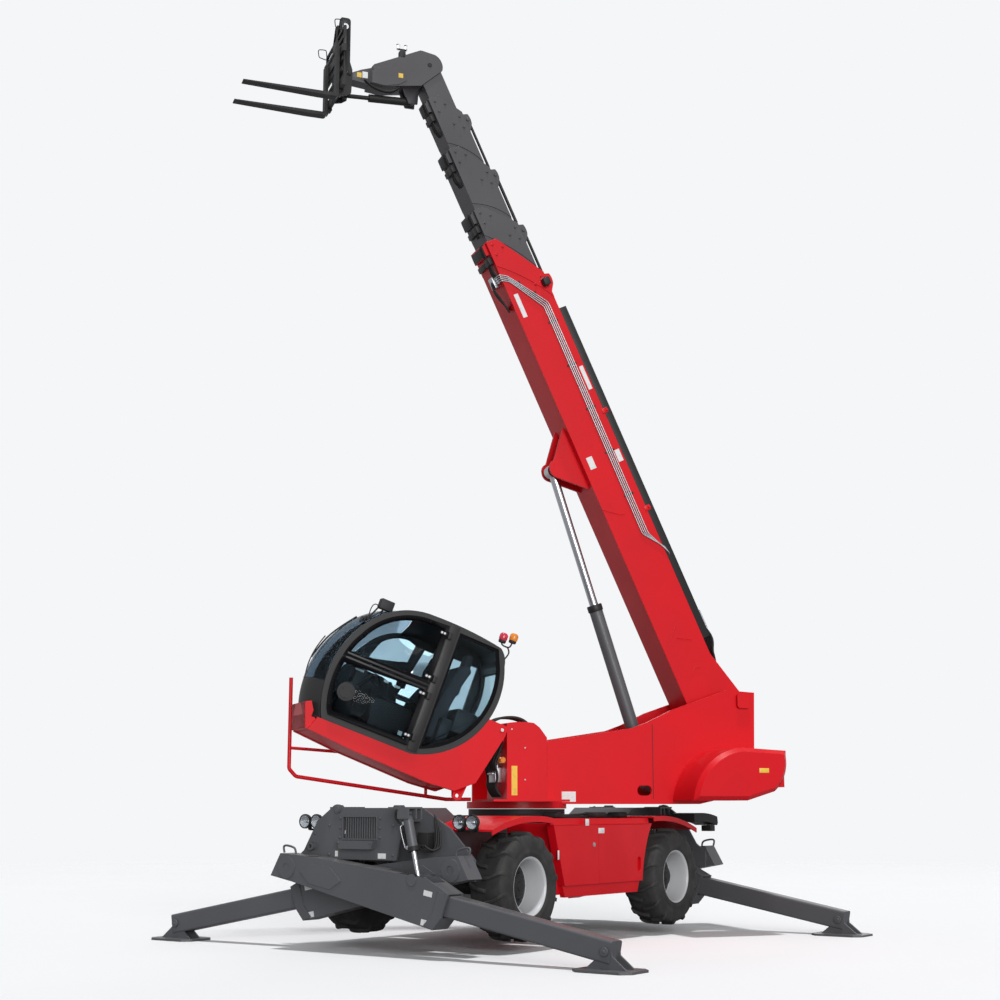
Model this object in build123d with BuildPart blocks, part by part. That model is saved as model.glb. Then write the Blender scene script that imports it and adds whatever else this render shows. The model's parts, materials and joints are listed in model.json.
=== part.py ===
from build123d import *
from math import cos, radians, sin
import os

os.makedirs("parts", exist_ok=True)

# A rotating telehandler standing on its four outriggers, wheels just clear of the ground.
# Millimetres. X runs forward, Y to the left, Z up, origin on the ground below the slew axis.

# ---- driving dimensions -------------------------------------------------------------------
WHEELBASE = 3190
AXLE_Z = 685                # wheel centres, lifted 100 off the ground
TYRE_Y = 1070               # tyre's middle plane
TYRE_R = 585
RIM_R = 300                 # bead seat
KINGPIN_Y = 860

FRAME_HALF = 450            # chassis box, half width
DECK_Z = 1400               # top of the chassis

SLEW_DEG = -35.09           # the upper works are turned this far to the right
RING_Z = 1505               # joint between chassis ring and turret ring
TURRET_FLOOR = 1560

BOOM_DEG = 65.0             # boom's angle above level
BOOM_PIVOT = (-2870, 2830)  # u, z in the turret's frame

CAB_DEG = 20.0              # the cab is tipped back this far
CAB_PIVOT = (604, 2383)     # u, z in the turret's frame
CAB_IN, CAB_OUT = 385, 1200 # v of the cab's two sides

BEAM_DEG = -10.5            # slope of an outrigger, outwards and down
BEAM_PIVOT = (-1000, 880)   # y, z of a left outrigger's pivot
OUTER_X, INNER_X = 2830, 2525
BEAM_W = 250
RAM_TOP = (567, 1463)       # y, z of the outrigger cylinder's top pin

# ---- frames: x forward, y left, z up of each group ----------------------------------------
CHASSIS = Plane.XY
TURRET = Plane(origin=(0, 0, 0), x_dir=(cos(radians(SLEW_DEG)), sin(radians(SLEW_DEG)), 0))


def tilted(frame, u, z, degrees_up):
    """The frame's x-z plane turned nose up about the point u, z."""
    a = radians(degrees_up)
    x_dir = frame.x_dir * cos(a) + frame.z_dir * sin(a)
    z_dir = frame.z_dir * cos(a) - frame.x_dir * sin(a)
    return Plane(origin=frame.from_local_coords((u, 0, z)), x_dir=x_dir, z_dir=z_dir)


BOOM = tilted(TURRET, *BOOM_PIVOT, BOOM_DEG)
CAB = tilted(TURRET, *CAB_PIVOT, CAB_DEG)


def side(frame, v):
    """Sketch plane x-z at y = v; extrudes towards -y."""
    return Plane(origin=frame.from_local_coords((0, v, 0)), x_dir=frame.x_dir, z_dir=-frame.y_dir)


def cross(frame, u):
    """Sketch plane y-z at x = u; extrudes towards +x."""
    return Plane(origin=frame.from_local_coords((u, 0, 0)), x_dir=frame.y_dir, z_dir=frame.x_dir)


def level(frame, w):
    """Sketch plane x-y at z = w; extrudes towards +z."""
    return Plane(origin=frame.from_local_coords((0, 0, w)), x_dir=frame.x_dir, z_dir=frame.z_dir)


# ---- forms used over and over -------------------------------------------------------------
def contour(steps):
    """A closed outline. Each step is a point to run straight to, or a pair of points: one that
    an arc passes through and the one where it ends."""
    here = steps[0]
    for step in [*steps[1:], steps[0]]:
        if isinstance(step[0], tuple):
            ThreePointArc(here, *step)
            here = step[1]
        elif step != here:
            Line(here, step)
            here = step


def face(plane, outline):
    """A flat face of the given outline."""
    with BuildSketch(plane) as profile:
        with BuildLine():
            contour(outline)
        make_face()
    return profile.sketch


def slab(plane, outline, depth, mode=Mode.ADD, taper=0):
    """A plate of the given outline."""
    extrude(face(plane, outline), amount=depth, mode=mode, taper=taper)


def block(plane, low, high, depth, mode=Mode.ADD, radius=0):
    """A rectangular plate between two corners."""
    with BuildSketch(plane) as profile:
        with Locations(((low[0] + high[0]) / 2, (low[1] + high[1]) / 2)):
            if radius:
                RectangleRounded(high[0] - low[0], high[1] - low[1], radius)
            else:
                Rectangle(high[0] - low[0], high[1] - low[1])
    extrude(profile.sketch, amount=depth, mode=mode)


def disc(plane, centre, radius, depth, mode=Mode.ADD, bore=0):
    """A round plate, bored if asked."""
    with BuildSketch(plane) as profile:
        with Locations(centre):
            Circle(radius)
            if bore:
                Circle(bore, mode=Mode.SUBTRACT)
    extrude(profile.sketch, amount=depth, mode=mode)


def turned(plane, outline):
    """A body of revolution about the plane's x axis."""
    revolve(face(plane, outline), axis=Axis(plane.origin, plane.x_dir))


def tube(plane, corners, bend, radius):
    """A bent round tube along corners in the plane."""
    with BuildLine(plane) as path:
        FilletPolyline(*corners, radius=bend)
    start = path.line @ 0
    with BuildSketch(Plane(origin=start, z_dir=path.line % 0)) as ring:
        Circle(radius)
    sweep(ring.sketch, path=path.line)


def finish(builder, name):
    builder.part.label = name
    export_step(builder.part, f"parts/{name}.step")


# ---- chassis ------------------------------------------------------------------------------
FRAME_SIDE = [(-2385, 960), (-2385, 1515), (-2000, 1515), (-1800, DECK_Z), (1800, DECK_Z),
              (2000, 1515), (2385, 1515), (2385, 960), (1150, 930), (950, 560), (-950, 560),
              (-1150, 930)]
INNER_PLATE = [(-450, 940), (-450, 1500), (450, 1500), (800, 1300), (1120, 980), (1120, 760),
               (880, 760), (450, 940)]
OUTER_PLATE = [(-560, 1545), (-455, 1545), (-430, 1520), (250, 1510), (280, 1544), (395, 1544),
               (436, 1500), (314, 968), (-600, 968), (-880, 760), (-1120, 760), (-1120, 960),
               (-987, 1060), (-800, 1376), (-620, 1500)]
PLATE_T = 25
OUTER_PLATE_X = 2665
INNER_PLATE_X = 2360
PIN_R = 45
RAM_PIN_R = 25
FIT = 0.05                  # radial clearance of a running fit
TIE_DOWNS = [(334, 1490), (-510, 1505)]
TIE_DOWN_R = 22
GRILLE = ((-420, 1190), (40, 1417))
GRILLE_BARS = 13
TRAY = ((-460, 1080), (45, 1170))
TRAY_OUT = 70
HITCH_EAR = (-862, 1102)

FACINGS = (1, -1)           # front end, rear end


def end_frame(facing):
    """Frame of the chassis end that faces forward (1) or back (-1), turned about Z."""
    return Plane(origin=(0, 0, 0), x_dir=(facing, 0, 0), z_dir=(0, 0, 1))


def ram_lugs(frame, centre_x, centre_y, plate_x, plate_depth, lean):
    """Two hanging lugs with a pin between them, under a plate that ties them to the chassis."""
    top = RAM_TOP[1] + 42
    for x in (centre_x - 75, centre_x + 55):
        block(cross(frame, x), (centre_y - 75, RAM_TOP[1] - 60), (centre_y + 75, top + 1), 20)
    block(cross(frame, plate_x), (centre_y - 75 - lean, top), (centre_y + 75, top + 20), plate_depth)
    disc(cross(frame, centre_x - 75), (centre_y, RAM_TOP[1]), RAM_PIN_R, 150)


with BuildPart() as chassis_frame:
    slab(side(CHASSIS, FRAME_HALF), FRAME_SIDE, 2 * FRAME_HALF)
    for facing in FACINGS:
        end = end_frame(facing)
        plate, reach = cross(end, INNER_PLATE_X), OUTER_PLATE_X - INNER_PLATE_X
        slab(plate, INNER_PLATE, PLATE_T)
        block(plate, (-400, 1370), (400, 1515), reach)
        disc(plate, (-BEAM_PIVOT[0], BEAM_PIVOT[1]), PIN_R, 290)
        ram_lugs(end, INNER_X, -RAM_TOP[0], INNER_PLATE_X, reach, 0)
        block(plate, (-645, 1400), (-400, 1525), PLATE_T)
finish(chassis_frame, "chassis_frame")

with BuildPart() as end_plates:
    for facing in FACINGS:
        end = end_frame(facing)
        plate = cross(end, OUTER_PLATE_X)
        slab(plate, OUTER_PLATE, PLATE_T)
        disc(plate, BEAM_PIVOT, PIN_R, 295)
        ram_lugs(end, OUTER_X, RAM_TOP[0], OUTER_PLATE_X, OUTER_X + 75 - OUTER_PLATE_X, 120)
        block(plate, (360, 1400), (642, 1525), PLATE_T)
        for eye in TIE_DOWNS:
            disc(plate, eye, 48, PLATE_T + 15)
            disc(plate, eye, TIE_DOWN_R, PLATE_T + 15, Mode.SUBTRACT)
        disc(plate, HITCH_EAR, 45, PLATE_T + 45, bore=22)
        # Grille: an opening in the plate behind a raised frame, filled with upright bars
        (left, bottom), (right, top) = GRILLE
        block(plate, (left - 18, bottom - 18), (right + 18, top + 18), PLATE_T + 12)
        block(plate, *GRILLE, PLATE_T + 12, Mode.SUBTRACT)
        pitch = (right - left) / (GRILLE_BARS + 1)
        for bar in range(GRILLE_BARS):
            y = left + pitch * (bar + 1)
            block(plate, (y - 7, bottom - 1), (y + 7, top + 1), PLATE_T)
        # Open tray under the grille
        outer_face = cross(end, OUTER_PLATE_X + PLATE_T - 1)
        (left, bottom), (right, top) = TRAY
        slab(outer_face, [(left + 25, bottom), (right - 25, bottom), (right, top), (left, top)],
             TRAY_OUT)
        slab(outer_face.offset(1), [(left + 34, bottom + 10), (right - 34, bottom + 10),
                                    (right - 9, top + 1), (left + 9, top + 1)],
             TRAY_OUT - 11, Mode.SUBTRACT)
finish(end_plates, "end_plates")

AXLE_HALF, AXLE_R = 715, 105
HUB_HALF, HUB_R = 150, 205  # differential
EAR_Z = (150, -190)         # kingpin ears above and below the axle
EAR_T = 40
with BuildPart() as axles:
    for facing in FACINGS:
        end = end_frame(facing)
        x = WHEELBASE / 2
        disc(side(end, AXLE_HALF), (x, AXLE_Z), AXLE_R, 2 * AXLE_HALF)
        disc(side(end, HUB_HALF), (x, AXLE_Z), HUB_R, 2 * HUB_HALF)
        for y in (330, -270):
            block(side(end, y), (x - 110, AXLE_Z), (x + 110, 930), 60)
        for y in (1, -1):
            block(side(end, y * 700), (x - 70, AXLE_Z - 190), (x + 70, AXLE_Z + 190), -60 * y)
            for z in EAR_Z:
                with BuildSketch(level(end, AXLE_Z + z)) as ear:
                    with Locations((x, y * 815)):
                        Rectangle(140, 230)
                    with Locations((x, y * KINGPIN_Y)):
                        Circle(30 + FIT, mode=Mode.SUBTRACT)
                extrude(ear.sketch, amount=EAR_T)
finish(axles, "axles")

with BuildPart() as engine_block:
    block(side(CHASSIS, -FRAME_HALF), (-720, 700), (620, 1230), 620)
finish(engine_block, "engine_block")

# Side covers: a hollow core, and a skin with a sloped hood edge, two doors and a set-back skirt
COVER_SIDE = [(-1130, 1330), (1036, 1330), (820, 660), (-890, 660), ((-962, 995), (-1130, 1330))]
HOOD_SIDE = [(-1130, 1330), (-1120, 1392), (1048, 1400), (1036, 1330)]
SKIRT_SIDE = [(-880, 659), (810, 659), (760, 530), (-830, 530)]
CORE_X = 840
CORE_WALL = 30
COVER_IN, COVER_OUT = 1120, 1220
GROOVE = 6                  # gaps round the two doors
SEAM_X = 95
GRIP = ((-860, 770), (-770, 940))
with BuildPart() as side_covers:
    inner = FRAME_HALF + 5
    for y in (1, -1):
        core, skin = side(CHASSIS, y * inner), side(CHASSIS, y * COVER_IN)
        groove, grip = side(CHASSIS, y * (COVER_OUT - GROOVE)), side(CHASSIS, y * (COVER_OUT - 45))
        block(core, (-CORE_X, 560), (CORE_X, 1340), y * (inner - COVER_IN))
        block(core, (-CORE_X + CORE_WALL, 600), (CORE_X - CORE_WALL, 1310),
              y * (inner - COVER_IN + CORE_WALL), Mode.SUBTRACT)
        slab(skin, COVER_SIDE, y * (COVER_IN - COVER_OUT))
        slab(skin, HOOD_SIDE, y * (COVER_IN - COVER_OUT + 45))
        slab(side(CHASSIS, y * (COVER_IN - 2)), SKIRT_SIDE, y * -62)
        block(groove, (SEAM_X - GROOVE / 2, 670), (SEAM_X + GROOVE / 2, 1325), -y * GROOVE, Mode.SUBTRACT)
        block(groove, (-1060, 1318), (1020, 1318 + GROOVE), -y * GROOVE, Mode.SUBTRACT)
        block(grip, *GRIP, -y * 45, Mode.SUBTRACT, 40)
finish(side_covers, "side_covers")

# Mudguards as arcs in x, z: the top skin's outline and the lip that hangs from its outer edge
GUARD_SKINS = {
    "front": [(1062, 1382), ((1660, 1396), (2230, 1268)), (2230, 1290), ((1660, 1417), (1062, 1402))],
    "rear": [(-1157, 1392), ((-1700, 1372), (-2230, 1240)), (-2230, 1260), ((-1700, 1393), (-1157, 1412))],
}
GUARD_LIPS = {
    "front": [(1062, 1340), ((1660, 1352), (2230, 1232)), (2230, 1290), ((1660, 1417), (1062, 1402))],
    "rear": [(-1157, 1352), ((-1700, 1330), (-2230, 1205)), (-2230, 1260), ((-1700, 1393), (-1157, 1412))],
}
GUARD_OUT = 1240
with BuildPart() as mudguards:
    for end_name, skin in GUARD_SKINS.items():
        for y in (1, -1):
            slab(side(CHASSIS, GUARD_OUT if y > 0 else -FRAME_HALF - 2), skin,
                 GUARD_OUT - 2 - FRAME_HALF)
            slab(side(CHASSIS, GUARD_OUT if y > 0 else -GUARD_OUT + 14), GUARD_LIPS[end_name], 14)
finish(mudguards, "mudguards")

with BuildPart() as slew_ring:
    disc(level(CHASSIS, DECK_Z), (0, 0), 580, RING_Z - 5 - DECK_Z, bore=430)
finish(slew_ring, "slew_ring")

TAIL_SIDE = [(-2250, 1330), ((-2600, 1335), (-2860, 1290)), (-2885, 1320), (-2870, 1400),
             ((-2560, 1445), (-2250, 1440))]
with BuildPart() as tail_box:
    slab(side(CHASSIS, 1200), TAIL_SIDE, 320)
    block(side(CHASSIS, 881), (-2350, 1380), (-2250, 1420), 881 - FRAME_HALF)
finish(tail_box, "tail_box")

LAMP_Y = (940, 1110)
LAMP_X, LAMP_Z, LAMP_R = 2250, 1365, 80
with BuildPart() as lamps:
    for y in (*LAMP_Y, *(-y for y in LAMP_Y)):
        spot = Plane(origin=(LAMP_X, y, LAMP_Z), x_dir=(1, 0, 0), z_dir=(0, 0, 1))
        turned(spot, [(0, 0), (0, 45), (40, 76), (62, LAMP_R), (85, LAMP_R), (85, LAMP_R - 8),
                      (70, LAMP_R - 14), (62, 0)])
        block(cross(CHASSIS, LAMP_X - 20), (y - 20, 1270), (y + 20, 1385), 21)
finish(lamps, "lamps")

# ---- wheels and knuckles ------------------------------------------------------------------
CORNERS = [("front_left", 1, 1), ("front_right", 1, -1), ("rear_left", -1, 1), ("rear_right", -1, -1)]
RIM_PROFILE = [(-212, 318), (-200, 318), (-200, RIM_R), (200, RIM_R), (200, 318), (212, 318),
               (212, 290), (-20, 285), (-20, 120), (60, 120), (90, 95), (90, 46), (-40, 46),
               (-40, 290), (-212, 290)]
# Tyre carcass as rings of flats, each an axial place and a radius, with the beads set in from
# the side walls, and one lug: axial place, radius of its foot and tip, and the two tangential
# edges of its section there
TYRE_FLATS = 24
TYRE_RINGS = [(-220, 425), (-212, 512), (-185, 545), (185, 545), (212, 512), (220, 425)]
TYRE_BEAD = (195, 302)
LUG_SECTIONS = [(8, 520, TYRE_R - 3, -50, -4), (160, 515, TYRE_R - 6, 8, 56),
                (223, 470, TYRE_R - 47, 30, 70)]
LUGS = 14


def tyre_ring(y, radius):
    """A polygon round the wheel's axis."""
    with BuildSketch(Plane.XY.offset(y)) as ring:
        RegularPolygon(radius, TYRE_FLATS, major_radius=False)
    return ring.sketch


def tyre_form():
    """A lugged tyre about the Z axis."""
    bead_y, bead_r = TYRE_BEAD
    wall_y, wall_r = TYRE_RINGS[-1]
    with BuildPart() as form:
        for low, high in zip(TYRE_RINGS, TYRE_RINGS[1:]):
            loft([tyre_ring(*low), tyre_ring(*high)], ruled=True)
        extrude(tyre_ring(-wall_y, RIM_R), amount=2 * wall_y, mode=Mode.SUBTRACT)
        for y in (1, -1):
            loft([tyre_ring(y * wall_y, wall_r), tyre_ring(y * bead_y, bead_r)], ruled=True,
                 mode=Mode.SUBTRACT)
    with BuildPart() as lug:
        sections = []
        for y, foot, tip, left, right in LUG_SECTIONS:
            with BuildSketch(Plane.XY.offset(y)) as section:
                with Locations(((foot + tip) / 2, (left + right) / 2)):
                    Rectangle(tip - foot, right - left)
            sections.append(section.sketch)
        loft(sections, ruled=True)
    step = 360 / LUGS
    one = lug.part
    other = one.mirror(Plane.XY)
    lugs = [one.rotate(Axis.Z, step * k) for k in range(LUGS)]
    lugs += [other.rotate(Axis.Z, step * (k + 0.5)) for k in range(LUGS)]
    return form.part.fuse(*lugs)


TYRE = tyre_form()

for corner, x_sign, y_sign in CORNERS:
    wheel_x = x_sign * WHEELBASE / 2
    spindle = Plane(origin=(wheel_x, y_sign * TYRE_Y, AXLE_Z), x_dir=(0, y_sign, 0),
                    z_dir=(y_sign, 0, 0))
    with BuildPart() as rim:
        turned(spindle, RIM_PROFILE)
    finish(rim, f"rim_{corner}")

    with BuildPart() as tyre:
        add(Plane(origin=spindle.origin, x_dir=(1, 0, 0), z_dir=(0, 1, 0)).location * TYRE)
    finish(tyre, f"tyre_{corner}")

    kingpin_x = KINGPIN_Y - TYRE_Y
    with BuildPart() as knuckle:
        disc(level(CHASSIS, AXLE_Z - 185), (wheel_x, y_sign * KINGPIN_Y), 30, 370)
        disc(level(CHASSIS, AXLE_Z - 145), (wheel_x, y_sign * KINGPIN_Y), 62, 290)
        turned(spindle, [(kingpin_x, 0), (kingpin_x, 90), (-110, 125), (-50, 125), (-50, 45),
                         (60, 45), (60, 0)])
    finish(knuckle, f"knuckle_{corner}")

# ---- outriggers ---------------------------------------------------------------------------
# Outline of the hinged beam, along it and square to it, from its pivot
BEAM_SIDE = [(-210, -130), (-120, 130), (193, 168), (1911, 278), (2213, 186), (2170, -60),
             (2082, -204), (116, -131)]
BEAM_BAND = [(2080, 186), (2213, 186), (2170, -60), (2082, -204), (1960, -180), (2050, -50)]
LEG_LOW, LEG_HIGH = -55, 165
LEG_W = 190
LEG_ROUND = 22
SLIDE_GAP = 10
RAM_EYE = (1720, 225)       # outrigger cylinder's lower pin on the beam
PAD_Y = 3030                # middle of a foot pad
PAD_PLAN = [(-330, -150), (-240, -240), (240, -240), (330, -150), (330, 150), (240, 240),
            (-240, 240), (-330, 150)]
PAD_RIB = [(-230, 24), (-70, 150), (-60, 235), (60, 235), (70, 150), (230, 24)]
FEET = [("front_left", 1, 1, OUTER_X), ("front_right", 1, -1, INNER_X),
        ("rear_left", -1, 1, INNER_X), ("rear_right", -1, -1, OUTER_X)]


def foot_frame(x_sign, y_sign, beam_x):
    """x along the beam and outwards, y along the chassis, at the beam's pivot."""
    a = radians(BEAM_DEG)
    y_out = y_sign * cos(a)
    return Plane(origin=(x_sign * beam_x, y_sign * BEAM_PIVOT[0], BEAM_PIVOT[1]),
                 x_dir=(0, y_out, sin(a)), z_dir=(0, -y_sign * sin(a), cos(a)))


def ram_plane(foot, y_sign):
    """x down the outrigger cylinder from its top pin."""
    eye = foot.from_local_coords((RAM_EYE[0], 0, RAM_EYE[1]))
    top = Vector(foot.origin.X, y_sign * RAM_TOP[0], RAM_TOP[1])
    down = (eye - top).normalized()
    return Plane(origin=top, x_dir=down, z_dir=down.cross(foot.y_dir) * -1), (eye - top).length


for corner, x_sign, y_sign, beam_x in FEET:
    foot = foot_frame(x_sign, y_sign, beam_x)
    half = BEAM_W / 2
    with BuildPart() as beam:
        slab(side(foot, half), BEAM_SIDE, BEAM_W)
        block(side(foot, LEG_W / 2 + SLIDE_GAP), (250, LEG_LOW - SLIDE_GAP),
              (2300, LEG_HIGH + SLIDE_GAP), LEG_W + 2 * SLIDE_GAP, Mode.SUBTRACT)
        block(side(foot, LEG_W / 2 + SLIDE_GAP), (1500, LEG_HIGH), (1990, 400),
              LEG_W + 2 * SLIDE_GAP, Mode.SUBTRACT)
        disc(side(foot, half), (0, 0), PIN_R + FIT, BEAM_W, Mode.SUBTRACT)
        for v in (half, -LEG_W / 2 - SLIDE_GAP + 40):
            disc(side(foot, v), RAM_EYE, 26, 40 + half - LEG_W / 2 - SLIDE_GAP)
        # A band round the open end, and cheek plates where the pin and the ram pull
        for v in (half + 8, -half):
            slab(side(foot, v), BEAM_BAND, 8)
            disc(side(foot, v), (0, 0), 120, 8, bore=PIN_R + FIT)
            disc(side(foot, v), RAM_EYE, 62, 8)
    finish(beam, f"outrigger_beam_{corner}")

    ground = Plane(origin=(foot.origin.X, y_sign * PAD_Y, 0), x_dir=(0, y_sign, 0), z_dir=(0, 0, 1))
    with BuildPart() as leg:
        block(cross(foot, 1650), (-LEG_W / 2, LEG_LOW), (LEG_W / 2, LEG_HIGH), 2500, radius=LEG_ROUND)
        slab(ground, PAD_PLAN, 24)
        for v in (85, -65):
            slab(side(ground, v), PAD_RIB, 20)
        disc(ground, (0, 0), 62, 250)
        disc(side(ground, 105), (0, 190), 30, 210)
    finish(leg, f"outrigger_leg_{corner}")

    ram, ram_length = ram_plane(foot, y_sign)
    with BuildPart() as ram_barrel:
        disc(side(ram, 45), (0, 0), 36, 90, bore=RAM_PIN_R + FIT)
        turned(ram, [(30, 0), (30, 45), (60, 52), (395, 52), (395, 28), (55, 28), (55, 0)])
    finish(ram_barrel, f"outrigger_barrel_{corner}")
    with BuildPart() as ram_rod:
        turned(ram, [(312, 0), (312, 27), (ram_length - 32, 27), (ram_length - 32, 0)])
        disc(side(ram, 25), (ram_length, 0), 42, 50, bore=28)
    finish(ram_rod, f"outrigger_rod_{corner}")

# ---- turret -------------------------------------------------------------------------------
CHEEK_OUT, CHEEK_IN = 420, 380
CHEEK_SIDE = [(430, TURRET_FLOOR), (430, 1900), (250, 2180), (-250, 2300), (-1350, 2470),
              (-1570, 2550), (-1890, 2700), (-2650, 2960), (-3040, 2940), (-3020, 2260),
              (-2970, 1710), (-2250, TURRET_FLOOR)]
PIVOT_R = 70
CHEEK_SLOT = ((-1600, 1660), (-1410, 1780))
LIFT_BASE = (-1780, 1790)
with BuildPart() as turret_frame:
    disc(level(TURRET, RING_Z), (0, 0), 600, TURRET_FLOOR - RING_Z, bore=430)
    block(level(TURRET, TURRET_FLOOR - 1), (-2250, -CHEEK_OUT), (430, CHEEK_OUT), 26)
    disc(level(TURRET, TURRET_FLOOR - 1), (0, 0), 600, 26)
    for v in (CHEEK_OUT, -CHEEK_IN):
        slab(side(TURRET, v), CHEEK_SIDE, CHEEK_OUT - CHEEK_IN)
    disc(side(TURRET, CHEEK_OUT + 30), BOOM_PIVOT, PIVOT_R, 2 * (CHEEK_OUT + 30))
    disc(side(TURRET, CHEEK_IN + 5), LIFT_BASE, 55, 2 * (CHEEK_IN + 5))
    block(side(TURRET, CHEEK_IN + 1), (-3000, 1800), (-2960, 2300), 2 * CHEEK_IN + 2)
    # Slots that reach the lift cylinder's lower pin, and the lift pin's keeper plates
    block(side(TURRET, CHEEK_OUT), *CHEEK_SLOT, 2 * CHEEK_OUT, Mode.SUBTRACT, 55)
    for v in (CHEEK_OUT + 45, -CHEEK_OUT - 30):
        block(side(TURRET, v), (BOOM_PIVOT[0] - 90, BOOM_PIVOT[1] - 90),
              (BOOM_PIVOT[0] + 90, BOOM_PIVOT[1] + 90), 15, radius=40)
finish(turret_frame, "turret_frame")

TOWER = [(30, TURRET_FLOOR + 25), (520, TURRET_FLOOR + 25), (520, 2468), ((360, 2484), (190, 2474)),
         (120, 2425), (30, 2310)]
CAB_PIN_R = 30
with BuildPart() as turret_tower:
    slab(side(TURRET, 1100), TOWER, 1100 - CHEEK_OUT)
    block(level(TURRET, TURRET_FLOOR + 25), (-250, CHEEK_OUT), (680, 1100), 25)
    for v in (1000, 530):
        slab(side(TURRET, v), [(500, 2250), (500, 2470), (640, 2440), (660, 2383), (640, 2330)], 40)
    disc(side(TURRET, CAB_OUT - 25), CAB_PIVOT, CAB_PIN_R, 755)
finish(turret_tower, "turret_tower")

WEIGHT_SIDE = [(-1880, 1600), ((-2100, 2040), (-2534, 2231)), (-3140, 2200), (-3140, 2130),
               ((-3090, 1850), (-2970, 1710)), (-2600, 1600)]
WEIGHT_OUT = 990            # full outline up to here, then drawn in
WEIGHT_CAP, WEIGHT_DRAFT = 60, 40
with BuildPart() as counterweight:
    for v, outwards in ((WEIGHT_OUT, -1), (-WEIGHT_OUT, 1)):
        slab(side(TURRET, v), WEIGHT_SIDE, outwards * (CHEEK_OUT - WEIGHT_OUT))
        slab(side(TURRET, v), WEIGHT_SIDE, outwards * WEIGHT_CAP, taper=WEIGHT_DRAFT)
    block(cross(TURRET, -3120), (-WEIGHT_OUT + 20, 1760), (WEIGHT_OUT - 20, 2180), 90)
finish(counterweight, "counterweight")

with BuildPart() as cab_guard:
    rail = side(TURRET, 335)
    tube(rail, [(700, 1612), (1000, 1612), (2790, 1865), (2871, 1950), (2871, 2980)], 60, 22)
    tube(rail, [(2871, 2185), (2020, 2128), (1250, 2075), (1250, 1650)], 60, 18)
finish(cab_guard, "cab_guard")

# ---- cab ----------------------------------------------------------------------------------
# Outline of the cab's side, along its floor and up, from the tilt pivot
CAB_SIDE = [(929, -630), (2010, -630), (2043, -560), ((2123, -133), (1981, 427)),
            ((1746, 724), (1194, 919)), ((771, 918), (328, 871)), ((258, 800), (218, 691)),
            ((175, 101), (929, -630))]
CAB_LEFT = CAB_OUT - 30     # outer face of the left wall
WALL = 40
GLASS_T = 6
# Front of the cab in side view, at its two sides and in the middle, where it bulges
NOSE_SIDE = [(2030, -600), ((2123, -133), (1981, 427)), ((1746, 724), (1400, 889))]
NOSE_MIDDLE = [(2195, -600), ((2271, -60), (2100, 430)), ((1850, 725), (1400, 900))]
NOSE_V = (1125, 780, 430)
PANEL_IN = (-30, -18)       # inner face of the front panel, and of the windscreen
SCREEN_IN = (-6, -5)
SCREEN_FOOT = -220


def shifted(point, by):
    return point[0] + by[0], point[1] + by[1]


def nose_band(inward):
    """The bulging front as a skin between its outer face and the same face moved inward."""
    bands = []
    for v, outline in zip(NOSE_V, (NOSE_SIDE, NOSE_MIDDLE, NOSE_SIDE)):
        foot, (via_1, middle), (via_2, head) = outline
        back = [shifted(point, inward) for point in (head, via_2, middle, via_1, foot)]
        bands.append(face(side(CAB, v), [*outline, back[0], tuple(back[1:3]), tuple(back[3:5])]))
    loft(bands)


# The cradle is cut out along the round back of the cab
CRADLE_SIDE = [(260, 60), (-60, 60), (-60, -60), (93, -668), (300, -835), (631, -860),
               (1556, -830), (2109, -788), (2050, -630), (929, -630), (800, -400)]
CRADLE_FLOOR = [(400, -800), (400, -830), (631, -850), (1556, -820), (2070, -780), (2070, -755),
                (1556, -790), (631, -820)]
CRADLE_LUG = [(170, -700), (330, -820), (300, -900), (240, -930), (190, -900)]
CRADLE_EYE = (245, -870)
CRADLE_T = 60
FRONT_BOX = [(2390, -590), (2170, -480), (2040, -680), (2060, -775), (2290, -795)]
BOX_BACK = [(1400, 1130), (2100, 1130), ((2250, 780), (2100, 430)), (1400, 430)]
with BuildPart() as front_box:
    slab(side(CAB, 1120), FRONT_BOX, 670)
    slab(level(CAB, -640), BOX_BACK, 200, Mode.SUBTRACT)

with BuildPart() as cab_cradle:
    for v in (CAB_LEFT, 480):
        slab(side(CAB, v), CRADLE_SIDE, CRADLE_T)
    slab(side(CAB, CAB_LEFT), CAB_SIDE, CAB_LEFT - CAB_IN, Mode.SUBTRACT)
    slab(side(CAB, CAB_LEFT - 30), CRADLE_FLOOR, CAB_LEFT - 30 - 450)
    slab(side(CAB, CAB_LEFT - 20), CRADLE_LUG, 20)
    disc(side(CAB, CAB_LEFT - 20), CRADLE_EYE, 22, 20, Mode.SUBTRACT)
    disc(side(CAB, CAB_LEFT), (0, 0), CAB_PIN_R + FIT, 1000, Mode.SUBTRACT)
    add(front_box.part)
finish(cab_cradle, "cab_cradle")

# Windows in the side walls: outer face of the wall, and outline
WINDOWS = [
    (CAB_LEFT, [(845, 850), (350, 846), (259, 640), ((244, 88), (853, -545))]),
    (CAB_IN + WALL, [(1744, 323), (1653, 620), ((1440, 765), (1181, 789)), (1043, 725), (1036, 346)]),
    (CAB_IN + WALL, [(300, -200), (850, -200), (850, 700), (300, 700)]),
]
REAR_WINDOW = (100, 620)    # foot and head of the window in the round back
DOORWAY = [(1020, -540), (1940, -540), ((2035, -133), (1905, 390)), ((1750, 605), (1198, 830)),
           (1020, 840)]


def rear_window(mode):
    block(side(CAB, CAB_LEFT - 110), (100, REAR_WINDOW[0]), (400, REAR_WINDOW[1]), 560, mode)


with BuildPart() as front_panel:
    nose_band(PANEL_IN)
    block(side(CAB, CAB_LEFT), (1300, -700), (2400, SCREEN_FOOT), 900, Mode.INTERSECT)

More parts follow.
